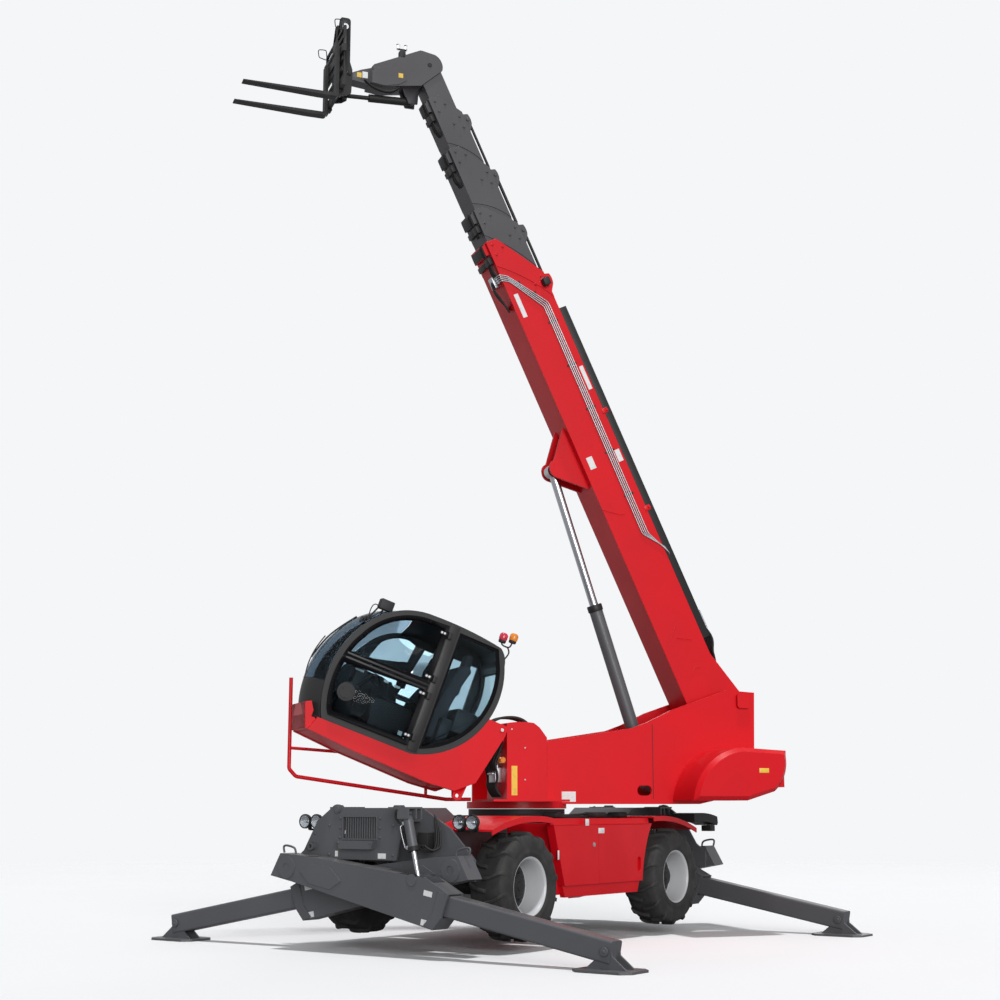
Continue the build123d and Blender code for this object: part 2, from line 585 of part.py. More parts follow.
with BuildPart() as cab_shell:
    slab(side(CAB, CAB_LEFT), CAB_SIDE, CAB_LEFT - CAB_IN)
    with BuildSketch(side(CAB, CAB_LEFT - WALL)) as room:
        with BuildLine():
            contour(CAB_SIDE)
        make_face()
        offset(amount=-WALL, kind=Kind.INTERSECTION)
    extrude(room.sketch, amount=CAB_LEFT - CAB_IN - 2 * WALL, mode=Mode.SUBTRACT)
    block(side(CAB, NOSE_V[0]), (1400, -590), (2300, 1000), NOSE_V[0] - NOSE_V[-1], Mode.SUBTRACT)
    slab(side(CAB, CAB_LEFT), DOORWAY, WALL, Mode.SUBTRACT)
    for v, outline in WINDOWS:
        slab(side(CAB, v), outline, WALL, Mode.SUBTRACT)
    rear_window(Mode.SUBTRACT)
    # The floor runs on under the bulging front
    slab(level(CAB, -630), [(1900, NOSE_V[0]), (2020, NOSE_V[0]), ((2185, NOSE_V[1]), (2020, NOSE_V[2])),
                            (1900, NOSE_V[2])], 35)
    add(front_panel.part)
finish(cab_shell, "cab_shell")

with BuildPart() as rear_pane:
    with BuildSketch(side(CAB, CAB_LEFT - 110)) as skin:
        with BuildLine():
            contour(CAB_SIDE)
        make_face()
        offset(amount=-15, kind=Kind.INTERSECTION)
        offset(amount=-GLASS_T, kind=Kind.INTERSECTION, mode=Mode.SUBTRACT)
    extrude(skin.sketch, amount=560)
    rear_window(Mode.INTERSECT)

with BuildPart() as windscreen:
    nose_band(SCREEN_IN)
    block(side(CAB, CAB_LEFT), (1400, SCREEN_FOOT), (2400, 1000), 900, Mode.INTERSECT)

with BuildPart() as cab_windows:
    add(windscreen.part)
    add(rear_pane.part)
    for v, outline in WINDOWS:
        slab(side(CAB, v - (WALL - GLASS_T) / 2), outline, GLASS_T)
finish(cab_windows, "cab_windows")

with BuildPart() as operator_seat:
    block(side(CAB, 960), (960, -590), (1160, -350), 360)
    block(side(CAB, 1000), (640, -350), (1180, -190), 440, radius=40)
    slab(side(CAB, 1000), [(640, -191), (780, -191), ((745, 200), (660, 520)), ((590, 560), (520, 500)),
                           ((600, 200), (640, -191))], 440)
finish(operator_seat, "operator_seat")

DOOR_LOWER = [(1000, -560), (1960, -560), (1999, -500), ((2061, -133), (2038, 90)), (1000, 140)]
DOOR_UPPER = [(1000, 160), (2034, 110), ((1990, 270), (1922, 405)), ((1769, 621), (1198, 857)),
              (1000, 868)]
DOOR_T = 35
DOOR_BORDER = 50
HINGE = (990, 1205)         # a, v of the doors' hinge line
HINGE_R, HINGE_L = 14, 70
for name, outline, hinges in (("lower", DOOR_LOWER, (-456, 40)), ("upper", DOOR_UPPER, (240, 765))):
    with BuildPart() as door:
        slab(side(CAB, CAB_OUT + 10), outline, DOOR_T)
        pane = side(CAB, CAB_OUT + 10 - (DOOR_T - GLASS_T) / 2)
        with BuildSketch(side(CAB, CAB_OUT + 10)) as window:
            with BuildLine():
                contour(outline)
            make_face()
            offset(amount=-DOOR_BORDER, kind=Kind.INTERSECTION)
        extrude(window.sketch, amount=DOOR_T, mode=Mode.SUBTRACT)
        slab(pane, outline, GLASS_T)
        for c in hinges:
            disc(level(CAB, c - HINGE_L / 2), HINGE, HINGE_R, HINGE_L)
    finish(door, f"cab_door_{name}")

# ---- boom ---------------------------------------------------------------------------------
# section, low n, high n, width, wall, foot s, end s on the underside, its height, end s on the top
SECTIONS = [
    ("boom_main", -640, -60, 500, 15, 150, 6590, 150, 5990),
    ("boom_section_2", -600, -100, 430, 12, 900, 7030, 150, 6700),
    ("boom_section_3", -565, -135, 370, 12, 1100, 7880, 150, 7500),
    ("boom_section_4", -532, -168, 315, 12, 1300, 8590, 150, 8300),
    ("boom_section_5", -500, -200, 262, 12, 1500, 8792, 0, 8882),
]
BEHIND_MAIN = (6165, 5545)  # where the main section's side plates begin, underneath and on top
DOUBLER_T = 8
DOUBLER_GAP = 95            # kept free ahead of the section behind
LIFT_EYE = (3600, -950)
LIFT_CHEEK = [(3200, -635), (3500, -985), ((3560, -1030), (3640, -1028)), ((3700, -990), (3720, -930)),
              (4060, -635)]
FOOT_PLATE = [(-110, -90), ((-85, 75), (60, 115)), (700, -61), (700, -620), (300, -640)]
behind_low, behind_high = BEHIND_MAIN
for name, low, high, width, wall, foot_s, end_low, lip, end_high in SECTIONS:
    with BuildPart() as section:
        ends = [(end_low, low), (end_low, low + lip), (end_high, high)] if lip else [
            (end_low, low), (end_high, high)]
        slab(side(BOOM, width / 2), [(foot_s, low), *ends, (foot_s, high)], width)
        block(side(BOOM, width / 2 - wall), (foot_s + wall, low + wall), (9500, high - wall),
              width - 2 * wall, Mode.SUBTRACT)
        # Doubled side plates, a hose bracket on top and a wear pad underneath at the open end
        if lip:
            start_low, start_high = behind_low + DOUBLER_GAP, behind_high + DOUBLER_GAP
            bow = ((start_low + start_high) / 2 + 60, (low + high) / 2)
            for v in (width / 2 + DOUBLER_T, -width / 2):
                slab(side(BOOM, v), [(start_low, low), *ends, (start_high, high), (bow, (start_low, low))],
                     DOUBLER_T)
            for v in (width / 2 - 30, -width / 2 + 50):
                slab(side(BOOM, v), [(end_high - 300, high - 1), (end_high - 20, high - 1),
                                     (end_high - 40, high + 80), ((end_high - 110, high + 92),
                                                                  (end_high - 180, high + 80))], 20)
            disc(side(BOOM, width / 2 - 30), (end_high - 110, high + 50), 16, width - 80)
            block(side(BOOM, width / 2 - 40), (end_low - 160, low - 50), (end_low - 10, low + 1),
                  width - 80)
            behind_low, behind_high = end_low, end_high
        if name == "boom_main":
            for v in (width / 2, -width / 2 + 30):
                slab(side(BOOM, v), FOOT_PLATE, 30)
            disc(side(BOOM, 370), (0, 0), 120, 740)
            disc(side(BOOM, 370), (0, 0), PIVOT_R + FIT, 740, Mode.SUBTRACT)
            for v in (150, -120):
                slab(side(BOOM, v), LIFT_CHEEK, 30)
            for v in (121, -100):
                disc(side(BOOM, v), LIFT_EYE, 45, 21)
    finish(section, name)

# Open tray on top of the main section, in which the hoses run
with BuildPart() as boom_carrier:
    block(side(BOOM, 100), (900, -60), (5480, 40), 200)
    block(side(BOOM, 92), (899, -50), (5481, 41), 184, Mode.SUBTRACT)
    for s in range(1000, 5481, 740):
        block(side(BOOM, 92), (s, -51), (s + 12, 25), 184)
finish(boom_carrier, "boom_carrier")

# Gooseneck head, u and z in the turret's frame, on the innermost section
HEAD_SIDE = [(1330, 10560), (1050, 10810), ((1065, 10930), (1150, 11010)), (1320, 11040),
             ((1690, 10960), (1980, 10720)), (2000, 10500), (1810, 10480)]
HEAD_NOSE = [(1950, 10735), (2200, 10650), (2270, 10650), (2270, 10530), (1950, 10500)]
TILT_PIVOT = (2270, 10590)
TILT_BASE = (1420, 10380)
TILT_EYE = (2290, 10340)
with BuildPart() as boom_head:
    slab(side(TURRET, 150), HEAD_SIDE, 300)
    slab(side(TURRET, 90), HEAD_NOSE, 180)
    disc(side(TURRET, 90), TILT_PIVOT, 60, 180)
    disc(side(TURRET, 150), TILT_PIVOT, 30, 300)
    for v in (90, -60):
        slab(side(TURRET, v), [(1340, 10600), (1360, 10330), (1480, 10330), (1560, 10520)], 30)
    disc(side(TURRET, 90), TILT_BASE, 25, 180)
finish(boom_head, "boom_head")

# ---- lift cylinder ------------------------------------------------------------------------
lift_base = TURRET.from_local_coords((LIFT_BASE[0], 0, LIFT_BASE[1]))
lift_eye = BOOM.from_local_coords((LIFT_EYE[0], 0, LIFT_EYE[1]))
lift_run = lift_eye - lift_base
LIFT = Plane(origin=lift_base, x_dir=lift_run, z_dir=lift_run.cross(TURRET.y_dir))
lift_length = lift_run.length
with BuildPart() as lift_barrel:
    disc(side(LIFT, 90), (0, 0), 105, 180)
    turned(LIFT, [(60, 0), (60, 85), (2340, 85), (2340, 57), (150, 57), (150, 0)])
    disc(side(LIFT, 90), (0, 0), 55 + FIT, 180, Mode.SUBTRACT)
finish(lift_barrel, "lift_barrel")
with BuildPart() as lift_rod:
    turned(LIFT, [(1900, 0), (1900, 55), (lift_length - 60, 55), (lift_length - 60, 0)])
    disc(side(LIFT, 70), (lift_length, 0), 85, 140, bore=50)
finish(lift_rod, "lift_rod")

# ---- fork carriage ------------------------------------------------------------------------
HITCH_SIDE = [(2230, 10540), (2230, 10640), (2262, 10740), (2262, 11290), ((2274, 11318), (2300, 11330)),
              (2380, 11330), (2410, 11290), (2410, 10265), (2300, 10290), (2240, 10330)]
HITCH_V = (130, -100)
LATCH = (2335, 11200)
with BuildPart() as fork_carriage:
    for v in HITCH_V:
        slab(side(TURRET, v), HITCH_SIDE, 30)
        disc(side(TURRET, v), TILT_PIVOT, 30 + FIT, 30, Mode.SUBTRACT)
    disc(side(TURRET, HITCH_V[0] + 25), LATCH, 28, 310)
    for v in (100, -60):
        disc(side(TURRET, v), TILT_EYE, 25, 40)
    for z in (10250, 10700):
        block(cross(TURRET, 2400), (-500, z), (500, z + 100), 50)
    for v in (-480, -130, 100, 450):
        block(cross(TURRET, 2400), (v, 10250), (v + 30, 11350), 30)
    block(cross(TURRET, 2400), (-480, 11320), (480, 11350), 30)
finish(fork_carriage, "fork_carriage")

FORK_V = (298, -298)
FORK_Z = 10195              # upper face of the blades
FORK_SIDE = [(2451, 10190), (2451, 10820), (2490, 10820), (2490, 10220),
             ((2497, 10202), (2515, FORK_Z)), (3640, FORK_Z), (3640, FORK_Z - 12), (2700, 10150),
             (2490, 10150), ((2462, 10162), (2451, 10190))]
with BuildPart() as forks:
    for v in FORK_V:
        slab(side(TURRET, v + 60), FORK_SIDE, 120)
finish(forks, "forks")

tilt_base = TURRET.from_local_coords((TILT_BASE[0], 0, TILT_BASE[1]))
tilt_eye = TURRET.from_local_coords((TILT_EYE[0], 0, TILT_EYE[1]))
tilt_run = tilt_eye - tilt_base
TILT = Plane(origin=tilt_base, x_dir=tilt_run, z_dir=tilt_run.cross(TURRET.y_dir))
tilt_length = tilt_run.length
with BuildPart() as tilt_barrel:
    disc(side(TILT, 50), (0, 0), 40, 100, bore=25 + FIT)
    turned(TILT, [(30, 0), (30, 46), (60, 50), (560, 50), (560, 28), (70, 28), (70, 0)])
finish(tilt_barrel, "tilt_barrel")
with BuildPart() as tilt_rod:
    turned(TILT, [(280, 0), (280, 27), (tilt_length - 35, 27), (tilt_length - 35, 0)])
    disc(side(TILT, 30), (tilt_length, 0), 42, 60, bore=28)
finish(tilt_rod, "tilt_rod")
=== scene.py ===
import json
import math

import bmesh
import bpy
from mathutils import Matrix, Vector


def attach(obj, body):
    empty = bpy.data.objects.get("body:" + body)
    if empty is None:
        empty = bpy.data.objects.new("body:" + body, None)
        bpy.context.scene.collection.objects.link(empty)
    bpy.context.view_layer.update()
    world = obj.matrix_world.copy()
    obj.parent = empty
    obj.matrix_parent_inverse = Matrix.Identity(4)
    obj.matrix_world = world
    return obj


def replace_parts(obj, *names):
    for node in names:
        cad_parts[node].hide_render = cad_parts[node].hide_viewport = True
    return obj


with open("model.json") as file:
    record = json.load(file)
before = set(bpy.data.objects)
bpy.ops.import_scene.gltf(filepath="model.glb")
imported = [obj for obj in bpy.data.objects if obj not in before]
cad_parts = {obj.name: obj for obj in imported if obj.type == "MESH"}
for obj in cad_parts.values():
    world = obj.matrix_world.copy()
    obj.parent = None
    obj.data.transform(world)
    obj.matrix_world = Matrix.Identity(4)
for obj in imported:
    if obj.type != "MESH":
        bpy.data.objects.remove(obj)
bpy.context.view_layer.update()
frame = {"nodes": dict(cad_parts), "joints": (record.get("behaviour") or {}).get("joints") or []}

# ---- Camera -------------------------------------------------------------------------------
# The viewer stands ahead of the machine and to its left, at head height, with a short
# telephoto lens tipped up a little towards the boom.
EYE = Vector((16.298, 11.285, 1.533))
HEADING, PITCH = math.radians(215.276), math.radians(10.743)
camera = bpy.data.objects.new("camera", bpy.data.cameras.new("camera"))
bpy.context.scene.collection.objects.link(camera)
camera.data.lens, camera.data.sensor_width, camera.data.clip_end = 58.1, 36.0, 300
level = math.cos(PITCH)
gaze = Vector((math.cos(HEADING) * level, math.sin(HEADING) * level, math.sin(PITCH)))
camera.location = EYE
camera.rotation_euler = gaze.to_track_quat("-Z", "Y").to_euler()
bpy.context.scene.camera = camera
bpy.context.scene.view_settings.view_transform = "Standard"


# ---- Floor, sky and lamps -----------------------------------------------------------------
# A pale studio floor that takes the shadows and fades into the backdrop far out, an even soft
# sky, a key lamp straight overhead for the hard shadow, one low ahead and one behind.
class Wire:
    """One value on its way through a finish. Python's operators on it add Math nodes."""

    def __init__(self, finish, socket):
        self.finish, self.socket = finish, socket

    def maths(self, operation, *values):
        return self.finish.node("Math", {"operation": operation}, dict(enumerate(values)))

    def __add__(self, other):
        return self.maths("ADD", self, other)

    def __mul__(self, other):
        return self.maths("MULTIPLY", self, other)

    __radd__, __rmul__ = __add__, __mul__


class Finish:
    """The nodes of a material, or of the sky, as they are put together."""

    def __init__(self, name, owner=None):
        self.owner = owner or bpy.data.materials.new(name)
        self.owner.use_nodes = True
        self.tree = self.owner.node_tree
        self.tree.nodes.clear()

    def node(self, kind, settings=None, sockets=None, output=0):
        """Adds a node: its settings first, then its sockets."""
        made = self.tree.nodes.new("ShaderNode" + kind)
        for key, value in (settings or {}).items():
            setattr(made, key, value)
        for key, value in (sockets or {}).items():
            if isinstance(value, Wire):
                self.tree.links.new(value.socket, made.inputs[key])
            else:
                made.inputs[key].default_value = value
        return Wire(self, made.outputs[output]) if made.outputs else None

    def spot(self):
        """Where on the piece, in metres."""
        return self.node("TexCoord", output="Object")

    def noise(self, scale, detail=3):
        return self.node("TexNoise", sockets={"Vector": self.spot(), "Scale": scale, "Detail": detail})

    def ramp(self, value, low, high):
        """0 below low, 1 above high."""
        return self.node("MapRange", {"clamp": True}, {"Value": value, "From Min": low, "From Max": high})

    def blend(self, share, first, second):
        """A colour between two, by share."""
        return self.node("Mix", {"data_type": "RGBA"}, {0: share, 6: first, 7: second}, 2)

    def bumped(self, height, distance, strength=1.0, rounded=None):
        """A bump, over edges that catch the light as if they were rounded."""
        sockets = {"Strength": strength, "Distance": distance, "Height": height}
        if rounded:
            sockets["Normal"] = self.node("Bevel", {"samples": 3}, {"Radius": rounded})
        return self.node("Bump", sockets=sockets)

    def close(self, shader, end="OutputMaterial"):
        self.node(end, sockets={"Surface": shader})
        return self.owner

    def surface(self, **sockets):
        """A Principled surface, with sockets named by words joined with underscores."""
        return self.close(self.node("BsdfPrincipled", sockets={
            key.replace("_", " "): value for key, value in sockets.items()}))


def made_piece(name, shape, *finishes, place=None, edges=0.0, sharp=35):
    """An object of a bmesh, moved to its place."""
    if place:
        bmesh.ops.transform(shape, matrix=place, verts=shape.verts)
    bmesh.ops.recalc_face_normals(shape, faces=shape.faces)
    mesh = bpy.data.meshes.new(name)
    shape.to_mesh(mesh)
    shape.free()
    made = bpy.data.objects.new(name, mesh)
    bpy.context.scene.collection.objects.link(made)
    for finish in finishes:
        mesh.materials.append(finish)
    mesh.shade_smooth()
    mesh.set_sharp_from_angle(angle=math.radians(sharp))
    if edges:
        rounding = made.modifiers.new("edges", "BEVEL")
        rounding.width, rounding.segments, rounding.limit_method = edges, 2, "ANGLE"
        rounding.harden_normals = True
    return made


PALE = (0.913, 0.921, 0.938, 1)
FADE = (14, 30)             # metres from the middle of the floor
ground = Finish("studio_floor")
distance = ground.node("VectorMath", {"operation": "LENGTH"}, {0: ground.spot()}, "Value")
seen = ground.node("LightPath", output="Is Camera Ray")
bright = ground.blend(ground.noise(0.8), (0.95, 0.955, 0.965, 1), (0.935, 0.94, 0.95, 1))
lit = ground.node("BsdfPrincipled", sockets={
    "Base Color": ground.blend(seen, (0.34, 0.34, 0.35, 1), bright),
    "Roughness": 0.9, "Specular IOR Level": 0.1})
gone = ground.node("BsdfTransparent")
shape = bmesh.new()
bmesh.ops.create_grid(shape, x_segments=1, y_segments=1, size=60)
made_piece("floor", shape, ground.close(
    ground.node("MixShader", sockets={0: ground.ramp(distance, *FADE), 1: lit, 2: gone})))

world = bpy.data.worlds.new("studio_sky")
bpy.context.scene.world = world
sky = Finish("studio_sky", world)
camera_ray, through_glass, mirrored = (
    sky.node("LightPath", output=ray) for ray in ("Is Camera Ray", "Is Transmission Ray", "Is Glossy Ray"))
shown = camera_ray.maths("MAXIMUM", camera_ray.maths("MAXIMUM", camera_ray, through_glass), mirrored * 0.5)
sky.close(sky.node("Background", sockets={"Color": sky.blend(shown, (0.23, 0.24, 0.25, 1), PALE)}),
          "OutputWorld")

# lamp, where it shines from, strength, spread in degrees
LAMPS = [("key_lamp", (1.4, 1.2, 10), 1.85, 4), ("fill_lamp", (6, 7, 2), 2.1, 35),
         ("rear_lamp", (-8, -3, 3), 0.35, 40)]
for name, place, strength, spread in LAMPS:
    lamp = bpy.data.objects.new(name, bpy.data.lights.new(name, "SUN"))
    lamp.data.energy, lamp.data.angle = strength, math.radians(spread)
    lamp.location = place
    lamp.rotation_euler = (-Vector(place)).to_track_quat("-Z", "Y").to_euler()
    bpy.context.scene.collection.objects.link(lamp)


# ---- Chassis frame and end plates ---------------------------------------------------------
# Cut and welded plate sprayed with slate grey enamel. The thick plate at each end is bolted to
# the frame and carries a grille, a small tray and the outriggers' pins.
def enamel(name, colour, deep, roughness, coat, gloss=0.5):
    """Sprayed enamel: orange peel, a wandering tone, rubbed spots, and dust on level faces."""
    f = Finish(name)
    facing = f.node("SeparateXYZ", sockets={0: f.node("TexCoord", output="Normal")}, output="Z")
    drift = f.ramp(f.noise(1.3, 4), 0.35, 0.65)
    dust = f.ramp(facing, 0.7, 1.0) * f.ramp(f.noise(5, 5), 0.45, 0.75) * 0.25
    rubbed = f.ramp(f.noise(14, 6), 0.66, 0.74) * 0.35
    tone = f.blend(rubbed, f.blend(drift * 0.5, colour, deep), deep)
    return f.surface(Base_Color=f.blend(dust, tone, (0.3, 0.27, 0.24, 1)),
                     Roughness=roughness + drift * 0.06 + dust * 0.8 + rubbed * 0.3,
                     Coat_Weight=coat, Coat_Roughness=0.08, Specular_IOR_Level=gloss,
                     Normal=f.bumped(f.noise(420, 2), 0.0006, 0.35, 0.006))


def zinc_plated():
    f = Finish("zinc_plated")
    bloom = f.noise(45, 4)
    return f.surface(Base_Color=f.blend(bloom, (0.55, 0.56, 0.58, 1), (0.38, 0.39, 0.41, 1)),
                     Metallic=0.9, Roughness=0.32 + bloom * 0.15)


def blank_plate(name, colour, worn):
    f = Finish(name)
    grime = f.ramp(f.noise(28, 5), 0.5, 0.75)
    return f.surface(Base_Color=f.blend(grime * 0.5, colour, worn), Roughness=0.4 + grime * 0.2)


def black_rubber():
    f = Finish("black_rubber")
    mottle = f.noise(55, 4)
    return f.surface(Base_Color=f.blend(mottle, (0.012, 0.012, 0.013, 1), (0.032, 0.031, 0.03, 1)),
                     Roughness=0.55 + mottle * 0.2, Specular_IOR_Level=0.3,
                     Normal=f.bumped(f.noise(240, 2), 0.0006, 0.5))


GREY = enamel("slate_enamel", (0.088, 0.09, 0.097, 1), (0.07, 0.071, 0.078, 1), 0.44, 0.1)
ZINC, RUBBER = zinc_plated(), black_rubber()
WHITE_PLATE = blank_plate("white_plate", (0.74, 0.75, 0.75, 1), (0.45, 0.44, 0.42, 1))
YELLOW_PLATE = blank_plate("yellow_plate", (0.8, 0.52, 0.05, 1), (0.45, 0.33, 0.1, 1))
joints = {joint["name"]: joint for joint in frame["joints"]}


def dress(finish, *nodes):
    """Gives CAD nodes their finish."""
    for node in nodes:
        solid = frame["nodes"][node]
        solid.data.materials.clear()
        solid.data.materials.append(finish)


def fit(name, shape, body, slot, *finishes, **how):
    """A piece that rides on a body, in the finishes it is given; its slot is not used."""
    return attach(made_piece(name, shape, *finishes, **how), body)


def box(shape, low, high, bevel=0.0):
    """A block between two corners, its edges broken if asked."""
    verts = bmesh.ops.create_cube(shape, size=1)["verts"]
    low, high = Vector(low), Vector(high)
    bmesh.ops.scale(shape, vec=high - low, verts=verts)
    bmesh.ops.translate(shape, vec=(low + high) / 2, verts=verts)
    if bevel:
        edges = list({edge for vert in verts for edge in vert.link_edges})
        bmesh.ops.bevel(shape, geom=edges, offset=bevel, affect="EDGES", segments=2, profile=0.5,
                        material=-1)


def rod(shape, start, end, radius, tip=None, sides=20):
    """A round bar between two points, or a taper to another radius."""
    start, end = Vector(start), Vector(end)
    turn = (end - start).to_track_quat("Z", "Y").to_matrix().to_4x4()
    bmesh.ops.create_cone(shape, cap_ends=True, segments=sides, radius1=radius,
                          radius2=radius if tip is None else tip, depth=(end - start).length,
                          matrix=Matrix.Translation((start + end) / 2) @ turn)


def bolts(shape, spots, facing, radius=0.011):
    """Hexagon bolts on their washers, standing on a face that looks along facing."""
    facing = Vector(facing)
    for spot in spots:
        spot = Vector(spot)
        rod(shape, spot - facing * 0.002, spot + facing * 0.003, radius * 1.6, sides=16)
        rod(shape, spot, spot + facing * (0.003 + radius * 0.8), radius, radius * 0.92, 6)


def hoses(name, runs, radius, body, finish, place=None):
    """Smooth hoses or pipes, each along its run of points."""
    line = bpy.data.curves.new(name, "CURVE")
    line.dimensions, line.bevel_depth, line.bevel_resolution = "3D", radius, 3
    line.use_fill_caps, line.resolution_u = True, 8
    for run in runs:
        spline = line.splines.new("NURBS")
        spline.points.add(len(run) - 1)
        for point, spot in zip(spline.points, run):
            point.co = (*((place or Matrix()) @ Vector(spot)), 1)
        spline.order_u, spline.use_endpoint_u = 3, True
    made = bpy.data.objects.new(name, line)
    bpy.context.scene.collection.objects.link(made)
    line.materials.append(finish)
    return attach(made, body)


def cast_iron():
    f = Finish("cast_iron")
    grain = f.noise(80, 5)
    return f.surface(Base_Color=f.blend(grain, (0.09, 0.09, 0.09, 1), (0.16, 0.155, 0.15, 1)),
                     Roughness=0.75, Metallic=0.3, Normal=f.bumped(grain, 0.003, 0.6))


dress(GREY, "chassis_frame", "end_plates")
dress(cast_iron(), "engine_block")


def turned(facing):
    """Turns what is drawn at the front end to face ahead (1) or back (-1)."""
    return Matrix.Rotation(0 if facing > 0 else math.pi, 4, "Z")


PLATE_FACE = 2.69          # outer face of the end plate
GRILLE = (-0.438, 1.172, 0.058, 1.435)      # y and z of the raised frame's corners
TRAY_FACE = PLATE_FACE + 0.069
heads, plates = bmesh.new(), bmesh.new()
for facing in (1, -1):
    turn = turned(facing)
    y0, z0, y1, z1 = GRILLE
    spots = [(y, z) for y in (y0 - 0.03, y1 + 0.03) for z in (z0 + 0.03, (z0 + z1) / 2, z1 - 0.03)]
    spots += [(y, z) for y in (-0.62, 0.27) for z in (1.02, 1.33)] + [(-0.83, 1.24)]
    bolts(heads, [turn @ Vector((PLATE_FACE, y, z)) for y, z in spots], (facing, 0, 0))
    bolts(heads, [turn @ Vector((TRAY_FACE, y, 1.145)) for y in (-0.43, 0.015)], (facing, 0, 0), 0.008)
    # two large round heads near the top of each end plate
    for y, z in ((0.334, 1.49), (-0.51, 1.505)):
        ends = (turn @ Vector((PLATE_FACE + out, y, z)) for out in (0.012, 0.02))
        rod(heads, *ends, 0.034, 0.03, 28)
    for y, z, wide, high in ((0.12, 1.012, 0.11, 0.055), (-0.515, 1.028, 0.04, 0.06)):
        spot = turn @ Vector((PLATE_FACE, y, z))
        box(plates, spot - Vector((0.001, wide / 2, high / 2)), spot + Vector((0.001, wide / 2, high / 2)))
fit("end_plate_bolts", heads, "chassis", "frame_grey", GREY)
fit("end_plate_labels", plates, "chassis", "frame_grey", WHITE_PLATE)


# ---- Side covers, mudguards and deck ------------------------------------------------------
# Pressed steel doors and mudguards in bright red, hung between the axles on both sides, with
# latches and blank plates, and the black humps and hoses that lie on the deck above them.
RED = enamel("red_enamel", (0.66, 0.004, 0.011, 1), (0.54, 0.003, 0.008, 1), 0.36, 0.06, 0.22)
BLACK_STEEL = enamel("black_enamel", (0.02, 0.02, 0.021, 1), (0.014, 0.014, 0.015, 1), 0.46, 0.02, 0.25)


def moulded_plastic():
    f = Finish("black_plastic")
    grain = f.noise(300, 2)
    return f.surface(Base_Color=f.blend(grain, (0.014, 0.014, 0.015, 1), (0.026, 0.026, 0.028, 1)),
                     Roughness=0.5 + grain * 0.1, Specular_IOR_Level=0.3,
                     Normal=f.bumped(grain, 0.0005, 0.5, 0.003))


PLASTIC = moulded_plastic()
COVER_OUT = 1.22           # outer face of a side cover
dress(RED, "side_covers", "mudguards")
dress(PLASTIC, "slew_ring", "tail_box")
latches, labels, deck = bmesh.new(), bmesh.new(), bmesh.new()
for left in (1, -1):
    face = left * COVER_OUT
    rod(latches, (0.2, face - left * 0.01, 1.1), (0.2, face + left * 0.006, 1.1), 0.026, sides=24)
    rod(latches, (0.2, face, 1.1), (0.2, face + left * 0.012, 1.1), 0.012, 0.01, 16)
    # blank plates: x and z of the middle, half the width and the height
    for x, z, wide, high in ((0.34, 1.352, 0.0375, 0.0375), (0.035, 1.255, 0.065, 0.03),
            (0.945, 1.0, 0.015, 0.05)):
        low_corner = (x - wide, face - 0.002, z - high)
        box(labels, low_corner, (x + wide, face + 0.0015, z + high), 0.0005)
    # Blocks and boots under the turret's skirt
    for x, half in ((-0.5, 0.12), (-1.02, 0.09), (0.42, 0.07)):
        box(deck, (x - half, left * 0.8 - 0.1, 1.4), (x + half, left * 0.8 + 0.1, 1.462), 0.022)
    box(deck, (-1.05, left * 0.72 - 0.05, 1.398), (0.5, left * 0.72 + 0.05, 1.425), 0.008)
fit("door_latches", latches, "chassis", "black", ZINC)
fit("cover_labels", labels, "chassis", "body_red", WHITE_PLATE)
fit("deck_blocks", deck, "chassis", "black", PLASTIC)
hoses("deck_hoses", [[
    (-1.0 + 0.03 * k, 0.62 + 0.035 * k, 1.43), (-0.6, 0.66 + 0.03 * k, 1.445 + 0.004 * k),
    (0.0, 0.67 + 0.025 * k, 1.425), (0.55, 0.6 + 0.03 * k, 1.44),
    (0.85, 0.45 + 0.03 * k, 1.42)] for k in range(4)], 0.012, "chassis", RUBBER)
# The lamp that hangs under the tail box
tail = bmesh.new()
box(tail, (-2.84, 1.04, 1.215), (-2.72, 1.18, 1.29), 0.008)
box(tail, (-2.79, 1.1, 1.28), (-2.77, 1.12, 1.34), 0.003)
fit("tail_lamp", tail, "chassis", "black", PLASTIC)


# ---- Headlamps ----------------------------------------------------------------------------
# Pairs of round work lamps on brackets over the front wheels: a black cup, a bright faceted
# reflector with its bulb, and a clear domed lens held by a rim.
def chrome():
    f = Finish("chrome")
    streak = f.noise(60, 3)
    return f.surface(Base_Color=f.blend(streak, (0.58, 0.59, 0.61, 1), (0.44, 0.45, 0.48, 1)),
                     Metallic=1.0, Roughness=0.16 + streak * 0.12)


def lamp_lens():
    f = Finish("lamp_lens")
    film = f.noise(30, 3)
    facets = f.node("TexVoronoi", sockets={"Vector": f.spot(), "Scale": 60})
    return f.surface(Base_Color=f.blend(film, (0.95, 0.97, 0.98, 1), (0.88, 0.91, 0.93, 1)),
        Roughness=film * 0.05, Transmission_Weight=1.0, IOR=1.4, Normal=f.bumped(facets, 0.002, 0.3))


def spun(shape, profile, place, steps=48):
    """A ring or dish: a profile of places along the axis and radii, spun about x, then placed."""
    verts = [shape.verts.new((x, 0, r)) for x, r in profile]
    edges = [shape.edges.new(pair) for pair in zip(verts, verts[1:])]
    bmesh.ops.spin(shape, geom=verts + edges, cent=(0, 0, 0), axis=(1, 0, 0), angle=math.tau,
                   steps=steps, use_merge=True)

    def fresh():
        return list({vert for face in shape.faces if not face.tag for vert in face.verts})

    bmesh.ops.remove_doubles(shape, verts=fresh(), dist=1e-5)
    bmesh.ops.transform(shape, matrix=place, verts=fresh())
    for face in shape.faces:
        face.tag = True


